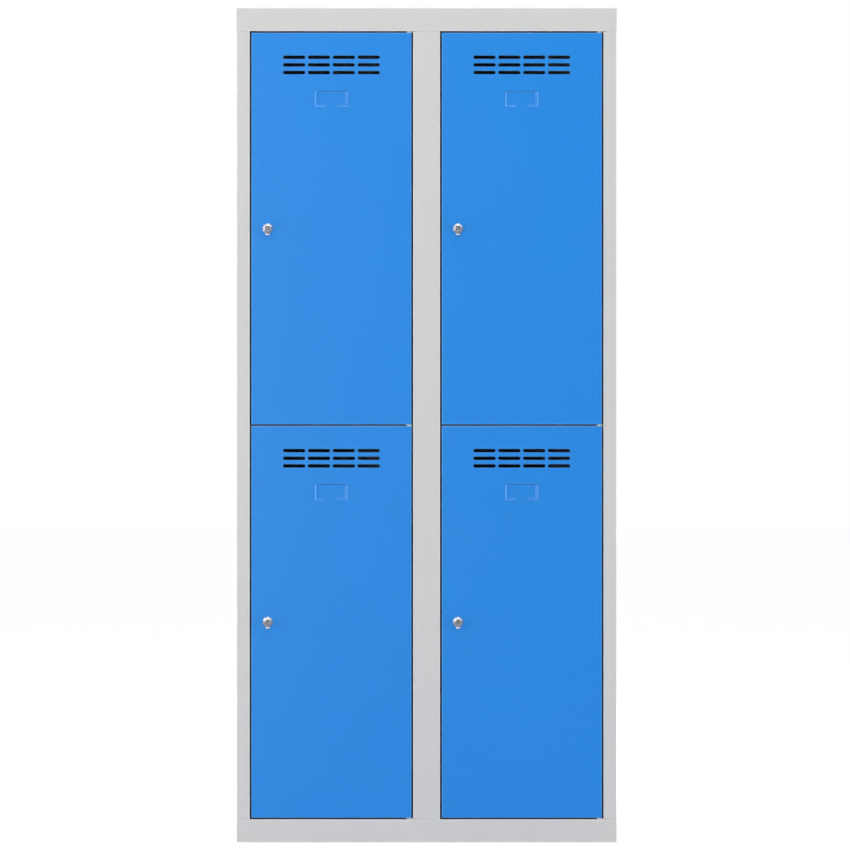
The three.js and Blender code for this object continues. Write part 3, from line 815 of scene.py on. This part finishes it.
# %% Plates
def plate(outline, hole):
    """A flat ring of cells at depth 0, from an outline to the hole's point in the same direction.
    hole is a function of the directions' cosines and sines."""
    outline = np.concatenate([outline, outline[:1]])
    direction = outline / np.linalg.norm(outline, axis=1, keepdims=True)
    inner = hole(direction)
    middle = inner + direction * 0.4 * MM
    rows = [np.column_stack([points, np.zeros(len(points))]) for points in (outline, middle, inner)]
    return whole(np.stack(rows))


def round_hole(radius):
    return lambda direction: direction * radius


def square_hole(half):
    return lambda direction: direction * half / np.abs(direction).max(axis=1, keepdims=True)


def arc(centre, radius, start, stop, steps=16):
    """Points on a circle from one angle to another, in degrees."""
    angles = np.radians(np.linspace(start, stop, steps + 1))
    return np.array(centre) + radius * np.stack([np.cos(angles), np.sin(angles)], -1)


def run(start, stop, steps=4):
    """Points along a straight edge, without its ends."""
    share = np.linspace(0, 1, steps + 1)[1:-1, None]
    return np.array(start) * (1 - share) + np.array(stop) * share


# %% Hinge plates
POST_GAP = 3.75 * MM  # door to post
LEG_BEND = 1.3 * MM


def hinge_plate(node, level):
    """A plate with a round nose about the pin. Its long front edge folds up or down behind the
    post's face."""
    low, high = reach(node)
    pin = (reach(node.replace("plate", "pin"))[0] + reach(node.replace("plate", "pin"))[1]) / 2
    middle = LEVELS[level]
    tail = high[0] - pin[0]
    leg_start = PIN_FROM_EDGE + POST_GAP + FOLD + SEAM
    leg_front = PLATE / 2 - PLATE_RADIUS
    flat_front = leg_front + LEG_BEND
    outline = np.concatenate([
        arc((0, 0), PLATE_RADIUS, 90, 270),
        run((0, -PLATE_RADIUS), (leg_start, -PLATE_RADIUS)),
        [(leg_start, -PLATE_RADIUS), (leg_start, flat_front), (tail, flat_front), (tail, PLATE_RADIUS)],
        run((tail, PLATE_RADIUS), (0, PLATE_RADIUS)),
    ])
    leg_end = (high[2] if level != "top" else low[2]) - middle
    leg = bent([(flat_front, 0), (leg_front, 0), (leg_front, leg_end)], LEG_BEND)
    patches = [
        plate(outline, round_hole(BORE)),
        whole(drawn_along(leg, [leg_start, tail], (Y, Z))),
    ]
    patches = placed(patches, (X, Y, Z), (pin[0], pin[1], middle))
    return finished(node, patches, "carcass_grey", PLATE)


for side in ("left", "right"):
    for level in LEVELS:
        hinge_plate(f"{side}_{level}_hinge_plate", level)
print("hinge plates: 6")

# %% [markdown]
# ## Locks
#
# Each door has a small chrome cylinder lock: a round head with a domed shoulder over a flat
# rosette, and a plug with a raised rib that holds the keyway, so that the recess shows dark on both
# sides of the rib. Under it is a small finger tab. Behind the door are the threaded barrel, a nut
# and a cam. The rings of the body run from the head, down the outside, and back up the bore.

# %% Sizes of a lock, from the door's face
HEAD_PROUD = 11 * MM
HEAD = 8.8 * MM
ROSETTE, ROSETTE_HIGH, ROSETTE_ROUND = 10.8 * MM, 2.6 * MM, 0.6 * MM
RECESS = 5.9 * MM
BARREL, BARREL_END = 8 * MM, 22 * MM
THREAD, THREAD_PITCH = 0.35 * MM, 1 * MM
SHAFT = 4.5 * MM
PLUG, PLUG_PROUD, PLUG_BACK = 5.6 * MM, 8.4 * MM, 4 * MM
RIB = (1.6 * MM, 5.1 * MM, 0.9 * MM)
RIB_PROUD = 10.7 * MM
KEYWAY = (0.6 * MM, 3.5 * MM, 0.3 * MM)
KEYWAY_DEEP = 5 * MM
KEYWAY_END = (0.03 * MM, 3.2 * MM, 0.02 * MM)  # it narrows to a line, so no light comes back out
SHANK = (3 * MM, 3 * MM, 0.4 * MM)
TAB = (4.5 * MM, 1.5 * MM)
TAB_DROP, TAB_PROUD = 14.3 * MM, 3.4 * MM
TAB_ROUND = 0.7 * MM
TAB_LEAN = 0.5  # how much less proud it is at its top
NUT_ACROSS, NUT_THICK = 22 * MM, 4 * MM
CAM_THICK = 2 * MM
CAM_HUB, CAM_TIP = 8 * MM, 6 * MM


# %% Lock bodies
def lock_body_profile():
    """Radius and place of each ring: domed head, rosette, threaded barrel, then the bore."""
    dome = HEAD - RECESS
    head = [(r, y) for r, y in quarter_round(HEAD, -HEAD_PROUD, dome, 9)]
    waist = [(HEAD, -ROSETTE_HIGH - 0.5 * MM), (HEAD + 0.15 * MM, -ROSETTE_HIGH - 0.15 * MM)]
    waist += [(HEAD + 0.5 * MM, -ROSETTE_HIGH)]
    rosette = quarter_round(ROSETTE, -ROSETTE_HIGH, ROSETTE_ROUND) + [(ROSETTE, -0.1 * MM)]
    turns = np.arange(4 * MM, BARREL_END - MM, THREAD_PITCH)
    thread = [point for y in turns for point in ((BARREL, y), (BARREL - THREAD, y + THREAD_PITCH / 2))]
    barrel = [(BARREL, -0.1 * MM)] + thread + [(BARREL - THREAD, BARREL_END)]
    bore = [(SHAFT + SEAM, BARREL_END), (SHAFT + SEAM, SEAM - PLUG_BACK), (RECESS, SEAM - PLUG_BACK)]
    return head + waist + rosette + barrel + bore + [(RECESS, -HEAD_PROUD)]


def finger_tab():
    """A small slab with a rounded front edge, as rings that shrink towards its face. Then its depth
    is scaled down in proportion to the height up it, so that the face leans back."""
    half_u, half_v = TAB[0], (TAB_DROP - HEAD + MM) / 2
    middle = -TAB_DROP + half_v
    sections = [(0, 0, 0, -0.1 * MM), (half_u, half_v, TAB[1], -0.1 * MM)]
    for angle in np.linspace(0, math.pi / 2, 5):
        inset = TAB_ROUND * (1 - math.cos(angle))
        proud = TAB_PROUD - TAB_ROUND + TAB_ROUND * math.sin(angle)
        sections.append((half_u - inset, half_v - inset, TAB[1] - inset, -proud))
    sections.append((0, 0, 0, -TAB_PROUD))
    points, keep = stacked(sections)
    points[..., 2] *= 1 - TAB_LEAN * (points[..., 1] + half_v) / (2 * half_v)
    return points + np.array([0, middle, 0]), keep


def lock_plug_sections():
    """From the square shank behind the cam, through the round shaft and plug, to the rib and down
    into the keyway."""
    def round_at(radius, y):
        return (radius, radius, radius, y)

    low, high = reach("lower_left_lock_plug")
    end, cam_front = high[1] - FACE, reach("lower_left_lock_cam")[0][1] - FACE
    tip = 0.3 * MM
    rib_end = (RIB[0] - tip, RIB[1] - tip, RIB[2] - tip)
    return [
        round_at(0, end),
        (*SHANK, end),
        (*SHANK, cam_front - SEAM),
        round_at(SHAFT, cam_front - SEAM),
        round_at(SHAFT, -PLUG_BACK),
        round_at(PLUG, -PLUG_BACK),
        round_at(PLUG, tip - PLUG_PROUD),
        round_at(PLUG - tip, -PLUG_PROUD),
        (RIB[0] + tip, RIB[1] + tip / 2, RIB[2] + tip / 2, -PLUG_PROUD),
        (*RIB, -PLUG_PROUD - tip),
        (*RIB, tip - RIB_PROUD),
        (*rib_end, -RIB_PROUD),
        (*KEYWAY, -RIB_PROUD),
        (*KEYWAY_END, KEYWAY_DEEP - RIB_PROUD),
        (0, 0, 0, KEYWAY_DEEP - RIB_PROUD),
    ]


# %% Nuts, cams and all four locks
def lock_nut(depth):
    """A hexagon with two flats level, and a round hole for the barrel."""
    corner = NUT_ACROSS / math.sqrt(3)
    corners = arc((0, 0), corner, 0, 360, 6)
    sides = [np.concatenate([a[None], run(a, b, 6)]) for a, b in zip(corners[:-1], corners[1:])]
    points, keep = plate(np.concatenate(sides), round_hole(BARREL))
    return points + np.array([0, 0, depth]), keep


def lock_cam(low, axis, depth):
    """A hub and a smaller tip joined by straight edges, with a square hole."""
    tip = low[2] + CAM_TIP - axis[2]
    outline = np.concatenate([
        arc((0, 0), CAM_HUB, 0, 180),
        run((-CAM_HUB, 0), (-CAM_TIP, tip)),
        arc((0, tip), CAM_TIP, 180, 360),
        run((CAM_TIP, tip), (CAM_HUB, 0)),
    ])
    points, keep = plate(outline, square_hole(SHANK[0] + SEAM / 2))
    return points + np.array([0, 0, depth]), keep


def lock(prefix):
    """Body, plug, nut and cam of one lock, all drawn from the point where its axis meets the door's
    face."""
    nut_low, nut_high = reach(f"{prefix}_lock_nut")
    cam_low, cam_high = reach(f"{prefix}_lock_cam")
    axis = (nut_low + nut_high) / 2
    origin = (axis[0], FACE, axis[2])

    def set_in(patches):
        return placed(patches, (X, Z, Y), origin)

    body = [turned(lock_body_profile()), finger_tab()]
    finished(f"{prefix}_lock_body", set_in(body), "lock_chrome", edge=0.1 * MM)
    finished(f"{prefix}_lock_plug", set_in([stacked(lock_plug_sections())]), "lock_chrome", edge=0.1 * MM)
    nut = set_in([lock_nut(axis[1] - FACE)])
    finished(f"{prefix}_lock_nut", nut, "zinc_plate", NUT_THICK, edge=0.6 * MM)
    cam = set_in([lock_cam(cam_low, axis, (cam_low[1] + cam_high[1]) / 2 - FACE)])
    finished(f"{prefix}_lock_cam", cam, "zinc_plate", CAM_THICK, edge=0.3 * MM)


for prefix in DOORS:
    lock(prefix)
print("locks:", len(DOORS))

# %% [markdown]
# ## Coat hooks
#
# A strip of zinc-plated steel, bent on a wider radius than the sheet and fixed under the
# compartment's ceiling.

# %% Coat hooks
HOOK_STRIP = 2.5 * MM
HOOK_BEND = 5 * MM + HOOK_STRIP / 2
HOOK_THROAT, HOOK_RISE = 20 * MM, 14 * MM


def coat_hook(node):
    """Path in y and z: plate, drop, throat and rise."""
    low, high = reach(node)
    half = HOOK_STRIP / 2
    top, bottom, back = high[2] - half, low[2] + half, high[1] - half
    path = [(low[1], top), (back, top), (back, bottom), (back - HOOK_THROAT, bottom)]
    path.append((back - HOOK_THROAT, bottom + HOOK_RISE))
    points = drawn_along(bent(path, HOOK_BEND, 10), [low[0], high[0]], (Y, Z))
    return finished(node, [whole(points)], "zinc_plate", HOOK_STRIP, edge=0.6 * MM)


for prefix in DOORS:
    coat_hook(f"{prefix}_coat_hook")
print("coat hooks:", len(DOORS))

# %% [markdown]
# ## Finishes
#
# Five finishes cover the locker. Effects that more than one of them uses are node groups, each with
# named sockets: the fine orange peel and long waves of coated sheet, rubbed edges, fold lines that
# carry a painted highlight, and dust that has settled on what faces up. The groups put out heights
# and masks, and each material decides what to do with them.


# %% Node helpers
def add(tree, kind, inputs=None, **settings):
    """A new node with its settings, and a value or a link for each named input."""
    made = tree.nodes.new(kind)
    for name, value in settings.items():
        setattr(made, name, value)
    for name, value in (inputs or {}).items():
        if isinstance(value, bpy.types.NodeSocket):
            tree.links.new(value, made.inputs[name])
        else:
            made.inputs[name].default_value = value
    return made


def effect(name, sockets_in, sockets_out):
    """A shader node group with named float inputs and outputs, and its two end nodes."""
    tree = bpy.data.node_groups.new(name, "ShaderNodeTree")
    for socket, value in sockets_in.items():
        made = tree.interface.new_socket(socket, in_out="INPUT", socket_type="NodeSocketFloat")
        made.default_value = value
    for socket in sockets_out:
        tree.interface.new_socket(socket, in_out="OUTPUT", socket_type="NodeSocketFloat")
    return tree, tree.nodes.new("NodeGroupInput").outputs, tree.nodes.new("NodeGroupOutput").inputs


def maths(tree, operation, a, b=0.0, clamp=False):
    """The result of one Math node on two numbers or links."""
    return add(tree, "ShaderNodeMath", {0: a, 1: b}, operation=operation, use_clamp=clamp).outputs[0]


def noise(tree, where, scale, detail=2.0, rough=0.5):
    """The value of a noise texture at the given places."""
    inputs = {"Vector": where, "Scale": scale, "Detail": detail, "Roughness": rough}
    made = add(tree, "ShaderNodeTexNoise", inputs)
    return made.outputs[0]


# %% [markdown]
# ### Coated sheet
#
# Powder coating flows while it bakes and stops just short of flat: a fine orange peel one or two
# millimetres across. The sheet under it is never quite flat either, so reflections bend slowly over
# a hand's width. Both are heights, added up and given to one Bump.

# %% Orange peel and sheet waves
peel, given, result = effect(
    "coated_sheet", {"Peel per metre": 520.0, "Peel depth": 1.0, "Wave per metre": 5.0, "Wave depth": 1.0},
    ["Height", "Tone"],
)
where = add(peel, "ShaderNodeTexCoord").outputs["Object"]
fine = noise(peel, where, given["Peel per metre"], 2.0)
finer = noise(peel, where, maths(peel, "MULTIPLY", given["Peel per metre"], 2.6), 1.0)
both = maths(peel, "ADD", fine, maths(peel, "MULTIPLY", finer, 0.35))
wave = noise(peel, where, given["Wave per metre"], 1.0)
height = maths(
    peel, "ADD",
    maths(peel, "MULTIPLY", both, given["Peel depth"]),
    maths(peel, "MULTIPLY", wave, given["Wave depth"]),
)
peel.links.new(height, result["Height"])
tone = maths(peel, "ADD", maths(peel, "MULTIPLY", wave, 0.6), maths(peel, "MULTIPLY", fine, 0.4))
peel.links.new(tone, result["Tone"])
print("group", peel.name)

# %% [markdown]
# ### Rubbed edges, painted fold highlights and dust
#
# Coating is thinner over an edge, so edges look a little lighter and smoother. In the powder coats
# the lighter edges are also a painted highlight, standing in for the light that folds catch. The
# Bevel node finds edges: where its rounded normal differs from the true one, an edge is near. A
# fold line is where the normal lies along none of the object's three axes, and it is lightened
# there as a painted highlight. Dust is the share of the normal that points up, broken up by noise.

# %% Edge, painted fold highlight and dust masks
edges, given, result = effect("rubbed_edge", {"Radius": 0.8 * MM, "Strength": 1.0}, ["Mask"])
true_normal = add(edges, "ShaderNodeNewGeometry").outputs["Normal"]
rounded = add(edges, "ShaderNodeBevel", {"Radius": given["Radius"]}, samples=4).outputs[0]
alike = add(edges, "ShaderNodeVectorMath", {0: true_normal, 1: rounded}, operation="DOT_PRODUCT")
apart = maths(edges, "SUBTRACT", 1.0, alike.outputs["Value"])
where = add(edges, "ShaderNodeTexCoord").outputs["Object"]
broken = maths(edges, "ADD", 0.45, noise(edges, where, 90.0, 3.0))
strong = maths(edges, "MULTIPLY", maths(edges, "MULTIPLY", apart, broken), given["Strength"])
edges.links.new(maths(edges, "MULTIPLY", strong, 6.0, clamp=True), result["Mask"])

# Painted highlight: folds are lightened to stand for the light that they catch, unevenly along their length.
folds, given, result = effect("painted_fold_highlight", {"Strength": 1.0}, ["Mask"])
own_space = add(folds, "ShaderNodeTexCoord").outputs
square = add(folds, "ShaderNodeVectorMath", {0: own_space["Normal"]}, operation="ABSOLUTE").outputs[0]
sides = add(folds, "ShaderNodeSeparateXYZ", {0: square}).outputs
flattest = maths(folds, "MAXIMUM", maths(folds, "MAXIMUM", sides["X"], sides["Y"]), sides["Z"])
turning = add(folds, "ShaderNodeMapRange", {"Value": flattest, "From Min": 0.98, "From Max": 0.88}).outputs[0]
uneven = maths(folds, "ADD", 0.6, maths(folds, "MULTIPLY", noise(folds, own_space["Object"], 40.0), 0.6))
fold_highlight_mask = maths(folds, "MULTIPLY", maths(folds, "MULTIPLY", turning, uneven), given["Strength"], clamp=True)
folds.links.new(fold_highlight_mask, result["Mask"])

dust, given, result = effect("settled_dust", {"Amount": 0.5, "Patches per metre": 7.0}, ["Mask"])
normal = add(dust, "ShaderNodeNewGeometry").outputs["Normal"]
up = add(dust, "ShaderNodeSeparateXYZ", {0: normal}).outputs["Z"]
facing_up = add(dust, "ShaderNodeMapRange", {"Value": up, "From Min": 0.75, "From Max": 0.98}).outputs[0]
where = add(dust, "ShaderNodeTexCoord").outputs["Object"]
patches_of = noise(dust, where, given["Patches per metre"], 4.0, 0.6)
specks = noise(dust, where, 900.0, 1.0)
patchy_cover = maths(dust, "ADD", patches_of, maths(dust, "MULTIPLY", specks, 0.5))
cover = maths(dust, "MULTIPLY", patchy_cover, facing_up)
dust.links.new(maths(dust, "MULTIPLY", cover, given["Amount"], clamp=True), result["Mask"])
print("groups", edges.name, folds.name, dust.name)


# %% Starting a material
def grouped(tree, group, **values):
    """A node that places one of the groups above, with its own values."""
    made = tree.nodes.new("ShaderNodeGroup")
    made.node_tree = group
    for name, value in values.items():
        made.inputs[name.replace("_", " ").capitalize()].default_value = value
    return made.outputs


def start(name, roughness, metallic=0.0, ior=1.5):
    """The material's tree and its Principled shader, with what is the same all over set on it."""
    material = bpy.data.materials[name]
    material.use_nodes = True
    tree = material.node_tree
    tree.nodes.clear()
    shader = add(tree, "ShaderNodeBsdfPrincipled", {"Roughness": roughness, "Metallic": metallic, "IOR": ior})
    output = add(tree, "ShaderNodeOutputMaterial")
    tree.links.new(shader.outputs[0], output.inputs["Surface"])
    return tree, shader


def blended(tree, factor, first, second):
    """A colour between two, where factor says how far towards the second."""
    mix = tree.nodes.new("ShaderNodeMix")
    mix.data_type = "RGBA"
    sockets = [s for s in mix.inputs if s.type == "RGBA"]
    for socket, colour in zip(sockets, (first, second)):
        if isinstance(colour, bpy.types.NodeSocket):
            tree.links.new(colour, socket)
        else:
            socket.default_value = (*colour, 1)
    tree.links.new(factor, mix.inputs[0])
    return [s for s in mix.outputs if s.type == "RGBA"][0]


def levels(tree, value, low, high):
    """A value from 0 to 1 spread between two others."""
    return add(tree, "ShaderNodeMapRange", {"Value": value, "To Min": low, "To Max": high}).outputs[0]


# %% Powder coats
def powder_coat(name, colour, edge_wear_and_highlight_colour, dusty, roughness, peel_depth):
    """Coloured coating: slow changes of tone, lighter edges and folds (wear and painted highlight), dust on
    top, and orange peel.
    """
    tree, shader = start(name, roughness)
    sheet = grouped(tree, peel, peel_depth=peel_depth, wave_depth=9.0)
    edge = grouped(tree, edges)
    fold = grouped(tree, folds)
    lying = grouped(tree, dust, amount=0.35)
    light, deep = np.array(colour) * 1.02, np.array(colour) * 0.97
    base = blended(tree, sheet["Tone"], light, deep)
    # Edges and folds blend towards a lighter colour: partly thinner coating, partly a painted highlight on
    # the folds.
    wear_and_highlight_mask = maths(tree, "MAXIMUM", edge["Mask"], fold["Mask"])
    base = blended(tree, wear_and_highlight_mask, base, edge_wear_and_highlight_colour)
    base = blended(tree, lying["Mask"], base, dusty)
    tree.links.new(base, shader.inputs["Base Color"])
    rough = levels(tree, sheet["Tone"], roughness - 0.05, roughness + 0.05)
    rough = maths(tree, "ADD", rough, maths(tree, "MULTIPLY", lying["Mask"], 0.3), clamp=True)
    tree.links.new(rough, shader.inputs["Roughness"])
    bump = add(tree, "ShaderNodeBump", {"Height": sheet["Height"], "Distance": 0.02 * MM, "Strength": 1.0})
    tree.links.new(bump.outputs[0], shader.inputs["Normal"])


GREY = (0.625, 0.622, 0.622)
BLUE = (0.004, 0.238, 0.745)
# The third colour lightens edges and folds: partly wear, partly a painted highlight.
powder_coat("carcass_grey", GREY, (0.92, 0.92, 0.91), (0.5, 0.49, 0.46), 0.42, 1.0)
powder_coat("door_blue", BLUE, (0.13, 0.39, 0.86), (0.30, 0.40, 0.60), 0.38, 1.0)
print("powder coats: grey and blue")

# %% [markdown]
# ### Plated and moulded parts
#
# The lock is bright chrome over a cast body: nearly a mirror, with fine polishing lines and a
# slightly uneven surface. Zinc plate is duller, and its crystals differ in tone. The bushes are
# natural nylon, a little translucent.

# %% Chrome, zinc and nylon
tree, shader = start("lock_chrome", 0.12, metallic=1.0)
where = add(tree, "ShaderNodeTexCoord").outputs["Object"]
lines_only = add(tree, "ShaderNodeMapping", {"Vector": where, "Scale": (1.0, 1.0, 14.0)}).outputs[0]
polish = noise(tree, lines_only, 900.0, 3.0, 0.6)
cloud = noise(tree, where, 260.0, 2.0)
edge = grouped(tree, edges, radius=0.4 * MM)
base = blended(tree, cloud, (0.80, 0.81, 0.83), (0.70, 0.71, 0.74))
tree.links.new(blended(tree, edge["Mask"], base, (0.62, 0.60, 0.56)), shader.inputs["Base Color"])
tree.links.new(levels(tree, polish, 0.07, 0.2), shader.inputs["Roughness"])
bump = add(tree, "ShaderNodeBump", {"Height": cloud, "Distance": 0.03 * MM, "Strength": 1.0})
tree.links.new(bump.outputs[0], shader.inputs["Normal"])

tree, shader = start("zinc_plate", 0.4, metallic=1.0)
where = add(tree, "ShaderNodeTexCoord").outputs["Object"]
crystals = add(tree, "ShaderNodeTexVoronoi", {"Vector": where, "Scale": 420.0}).outputs["Color"]
tone = add(tree, "ShaderNodeSeparateColor", {0: crystals}).outputs[0]
edge = grouped(tree, edges, radius=0.4 * MM)
base = blended(tree, tone, (0.56, 0.57, 0.58), (0.44, 0.46, 0.49))
tree.links.new(blended(tree, edge["Mask"], base, (0.70, 0.70, 0.70)), shader.inputs["Base Color"])
tree.links.new(levels(tree, tone, 0.3, 0.5), shader.inputs["Roughness"])
grain = noise(tree, where, 1500.0, 3.0)
bump = add(tree, "ShaderNodeBump", {"Height": grain, "Distance": 0.02 * MM, "Strength": 1.0})
tree.links.new(bump.outputs[0], shader.inputs["Normal"])

tree, shader = start("nylon", 0.45)
where = add(tree, "ShaderNodeTexCoord").outputs["Object"]
cloud = noise(tree, where, 300.0, 2.0)
tree.links.new(blended(tree, cloud, (0.80, 0.79, 0.74), (0.70, 0.69, 0.64)), shader.inputs["Base Color"])
tree.links.new(levels(tree, cloud, 0.38, 0.55), shader.inputs["Roughness"])
shader.inputs["Subsurface Weight"].default_value = 0.1
shader.inputs["Subsurface Radius"].default_value = (MM, MM, MM)
print("materials:", sorted(m.name for m in bpy.data.materials if m.users))

# %% [markdown]
# ## Studio
#
# A pale floor, a white surround and soft light from the front, a little above and to the left, as
# for a catalogue. The surround is white only where the camera looks straight at it. Shadows see a
# grey sky that is brighter overhead. Shiny surfaces see a sky of their own with more contrast and a
# darker floor, so that chrome has something to show, and the two side boxes don't show in them.

# %% World
world = bpy.data.worlds.new("studio")
bpy.context.scene.world = world
world.use_nodes = True
tree = world.node_tree
tree.nodes.clear()
rays = add(tree, "ShaderNodeLightPath").outputs
looked_at = rays["Is Camera Ray"]
direction = add(tree, "ShaderNodeTexCoord").outputs["Generated"]
upwards = add(tree, "ShaderNodeSeparateXYZ", {0: direction}).outputs["Z"]
soft = levels(tree, maths(tree, "ADD", maths(tree, "MULTIPLY", upwards, 0.5), 0.5), 0.1, 0.5)
overhead = add(tree, "ShaderNodeMapRange", {"Value": upwards, "From Min": 0.15, "From Max": 0.45}).outputs[0]
mirrored = levels(tree, overhead, 0.27, 1.4)
shiny = rays["Is Glossy Ray"]
sky = maths(
    tree, "ADD",
    maths(tree, "MULTIPLY", soft, maths(tree, "SUBTRACT", 1.0, shiny)),
    maths(tree, "MULTIPLY", mirrored, shiny),
)
seen = add(tree, "ShaderNodeBackground", {"Color": (1, 1, 1, 1), "Strength": 1.0}).outputs[0]
felt = add(tree, "ShaderNodeBackground", {"Color": (0.98, 0.99, 1, 1), "Strength": sky}).outputs[0]
either = add(tree, "ShaderNodeMixShader", {0: looked_at, 1: felt, 2: seen}).outputs[0]
tree.links.new(either, add(tree, "ShaderNodeOutputWorld").inputs["Surface"])

# %% Floor
FLOOR_RADIUS = 30.0
angles = np.linspace(0, 2 * math.pi, 97)
edge_points = np.stack([np.cos(angles), np.sin(angles), 0 * angles], -1) * FLOOR_RADIUS
floor_mesh = mesh_of("floor", [whole(np.stack([edge_points, edge_points * 0.1, edge_points * 0]))])
floor = bpy.data.objects.new("floor", floor_mesh)
bpy.context.scene.collection.objects.link(floor)
floor_paint = bpy.data.materials.new("floor_paint")
floor.data.materials.append(floor_paint)
tree, shader = start("floor_paint", 0.8)
where = add(tree, "ShaderNodeTexCoord").outputs["Object"]
mottle = noise(tree, where, 3.0, 3.0)
plain = blended(tree, mottle, (0.86, 0.86, 0.86), (0.84, 0.84, 0.84))
rays = add(tree, "ShaderNodeLightPath").outputs
tree.links.new(blended(tree, rays["Is Glossy Ray"], plain, (0.4, 0.4, 0.4)), shader.inputs["Base Color"])
shader.inputs["Emission Color"].default_value = (1, 1, 1, 1)
tree.links.new(maths(tree, "MULTIPLY", rays["Is Camera Ray"], 0.55), shader.inputs["Emission Strength"])


# %% Lights
def softbox(name, place, target, size, watts, mirrored=True):
    """A square area light that looks at a point. One that isn't mirrored lights without showing in
    anything shiny, as a large diffused bank would."""
    lamp = bpy.data.lights.new(name, "AREA")
    lamp.size = size
    lamp.energy = watts
    box = bpy.data.objects.new(name, lamp)
    bpy.context.scene.collection.objects.link(box)
    box.location = place
    box.visible_glossy = mirrored
    way = np.array(target, float) - np.array(place, float)
    box.rotation_euler = Vector(way).to_track_quat("-Z", "Y").to_euler()
    return box


middle = (0, 0, HEIGHT / 2)
softbox("key", (-2.6, -6.4, 1.5), middle, 2.4, 90)
softbox("left side", (-4.2, -1.2, 0.9), middle, 2.0, 87, mirrored=False)
softbox("right side", (4.2, -1.2, 0.9), middle, 2.0, 94, mirrored=False)
softbox("overhead", (0, -1.3, 3.9), (0, -0.3, 1.2), 1.6, 25)
softbox("rim", (0.5, 4.5, 3.2), middle, 2.5, 60)

# %% [markdown]
# ## Camera
#
# A long lens from ten metres away, level with the middle of the locker, so that its sides hardly
# show.

# %% Camera
LENS_DISTANCE = 10.0
VIEW_HEIGHT = 1.8328  # height of the view at the doors, in metres
camera_data = bpy.data.cameras.new("camera")
camera_data.sensor_width = 36
camera_data.lens = camera_data.sensor_width * LENS_DISTANCE / VIEW_HEIGHT
camera = bpy.data.objects.new("camera", camera_data)
bpy.context.scene.collection.objects.link(camera)
camera.location = (-0.0035, FACE - LENS_DISTANCE, HEIGHT / 2 + 0.0005)
camera.rotation_euler = (math.pi / 2, 0, 0)
camera_data.clip_end = 100
bpy.context.scene.camera = camera
bpy.context.scene.view_settings.view_transform = "Standard"
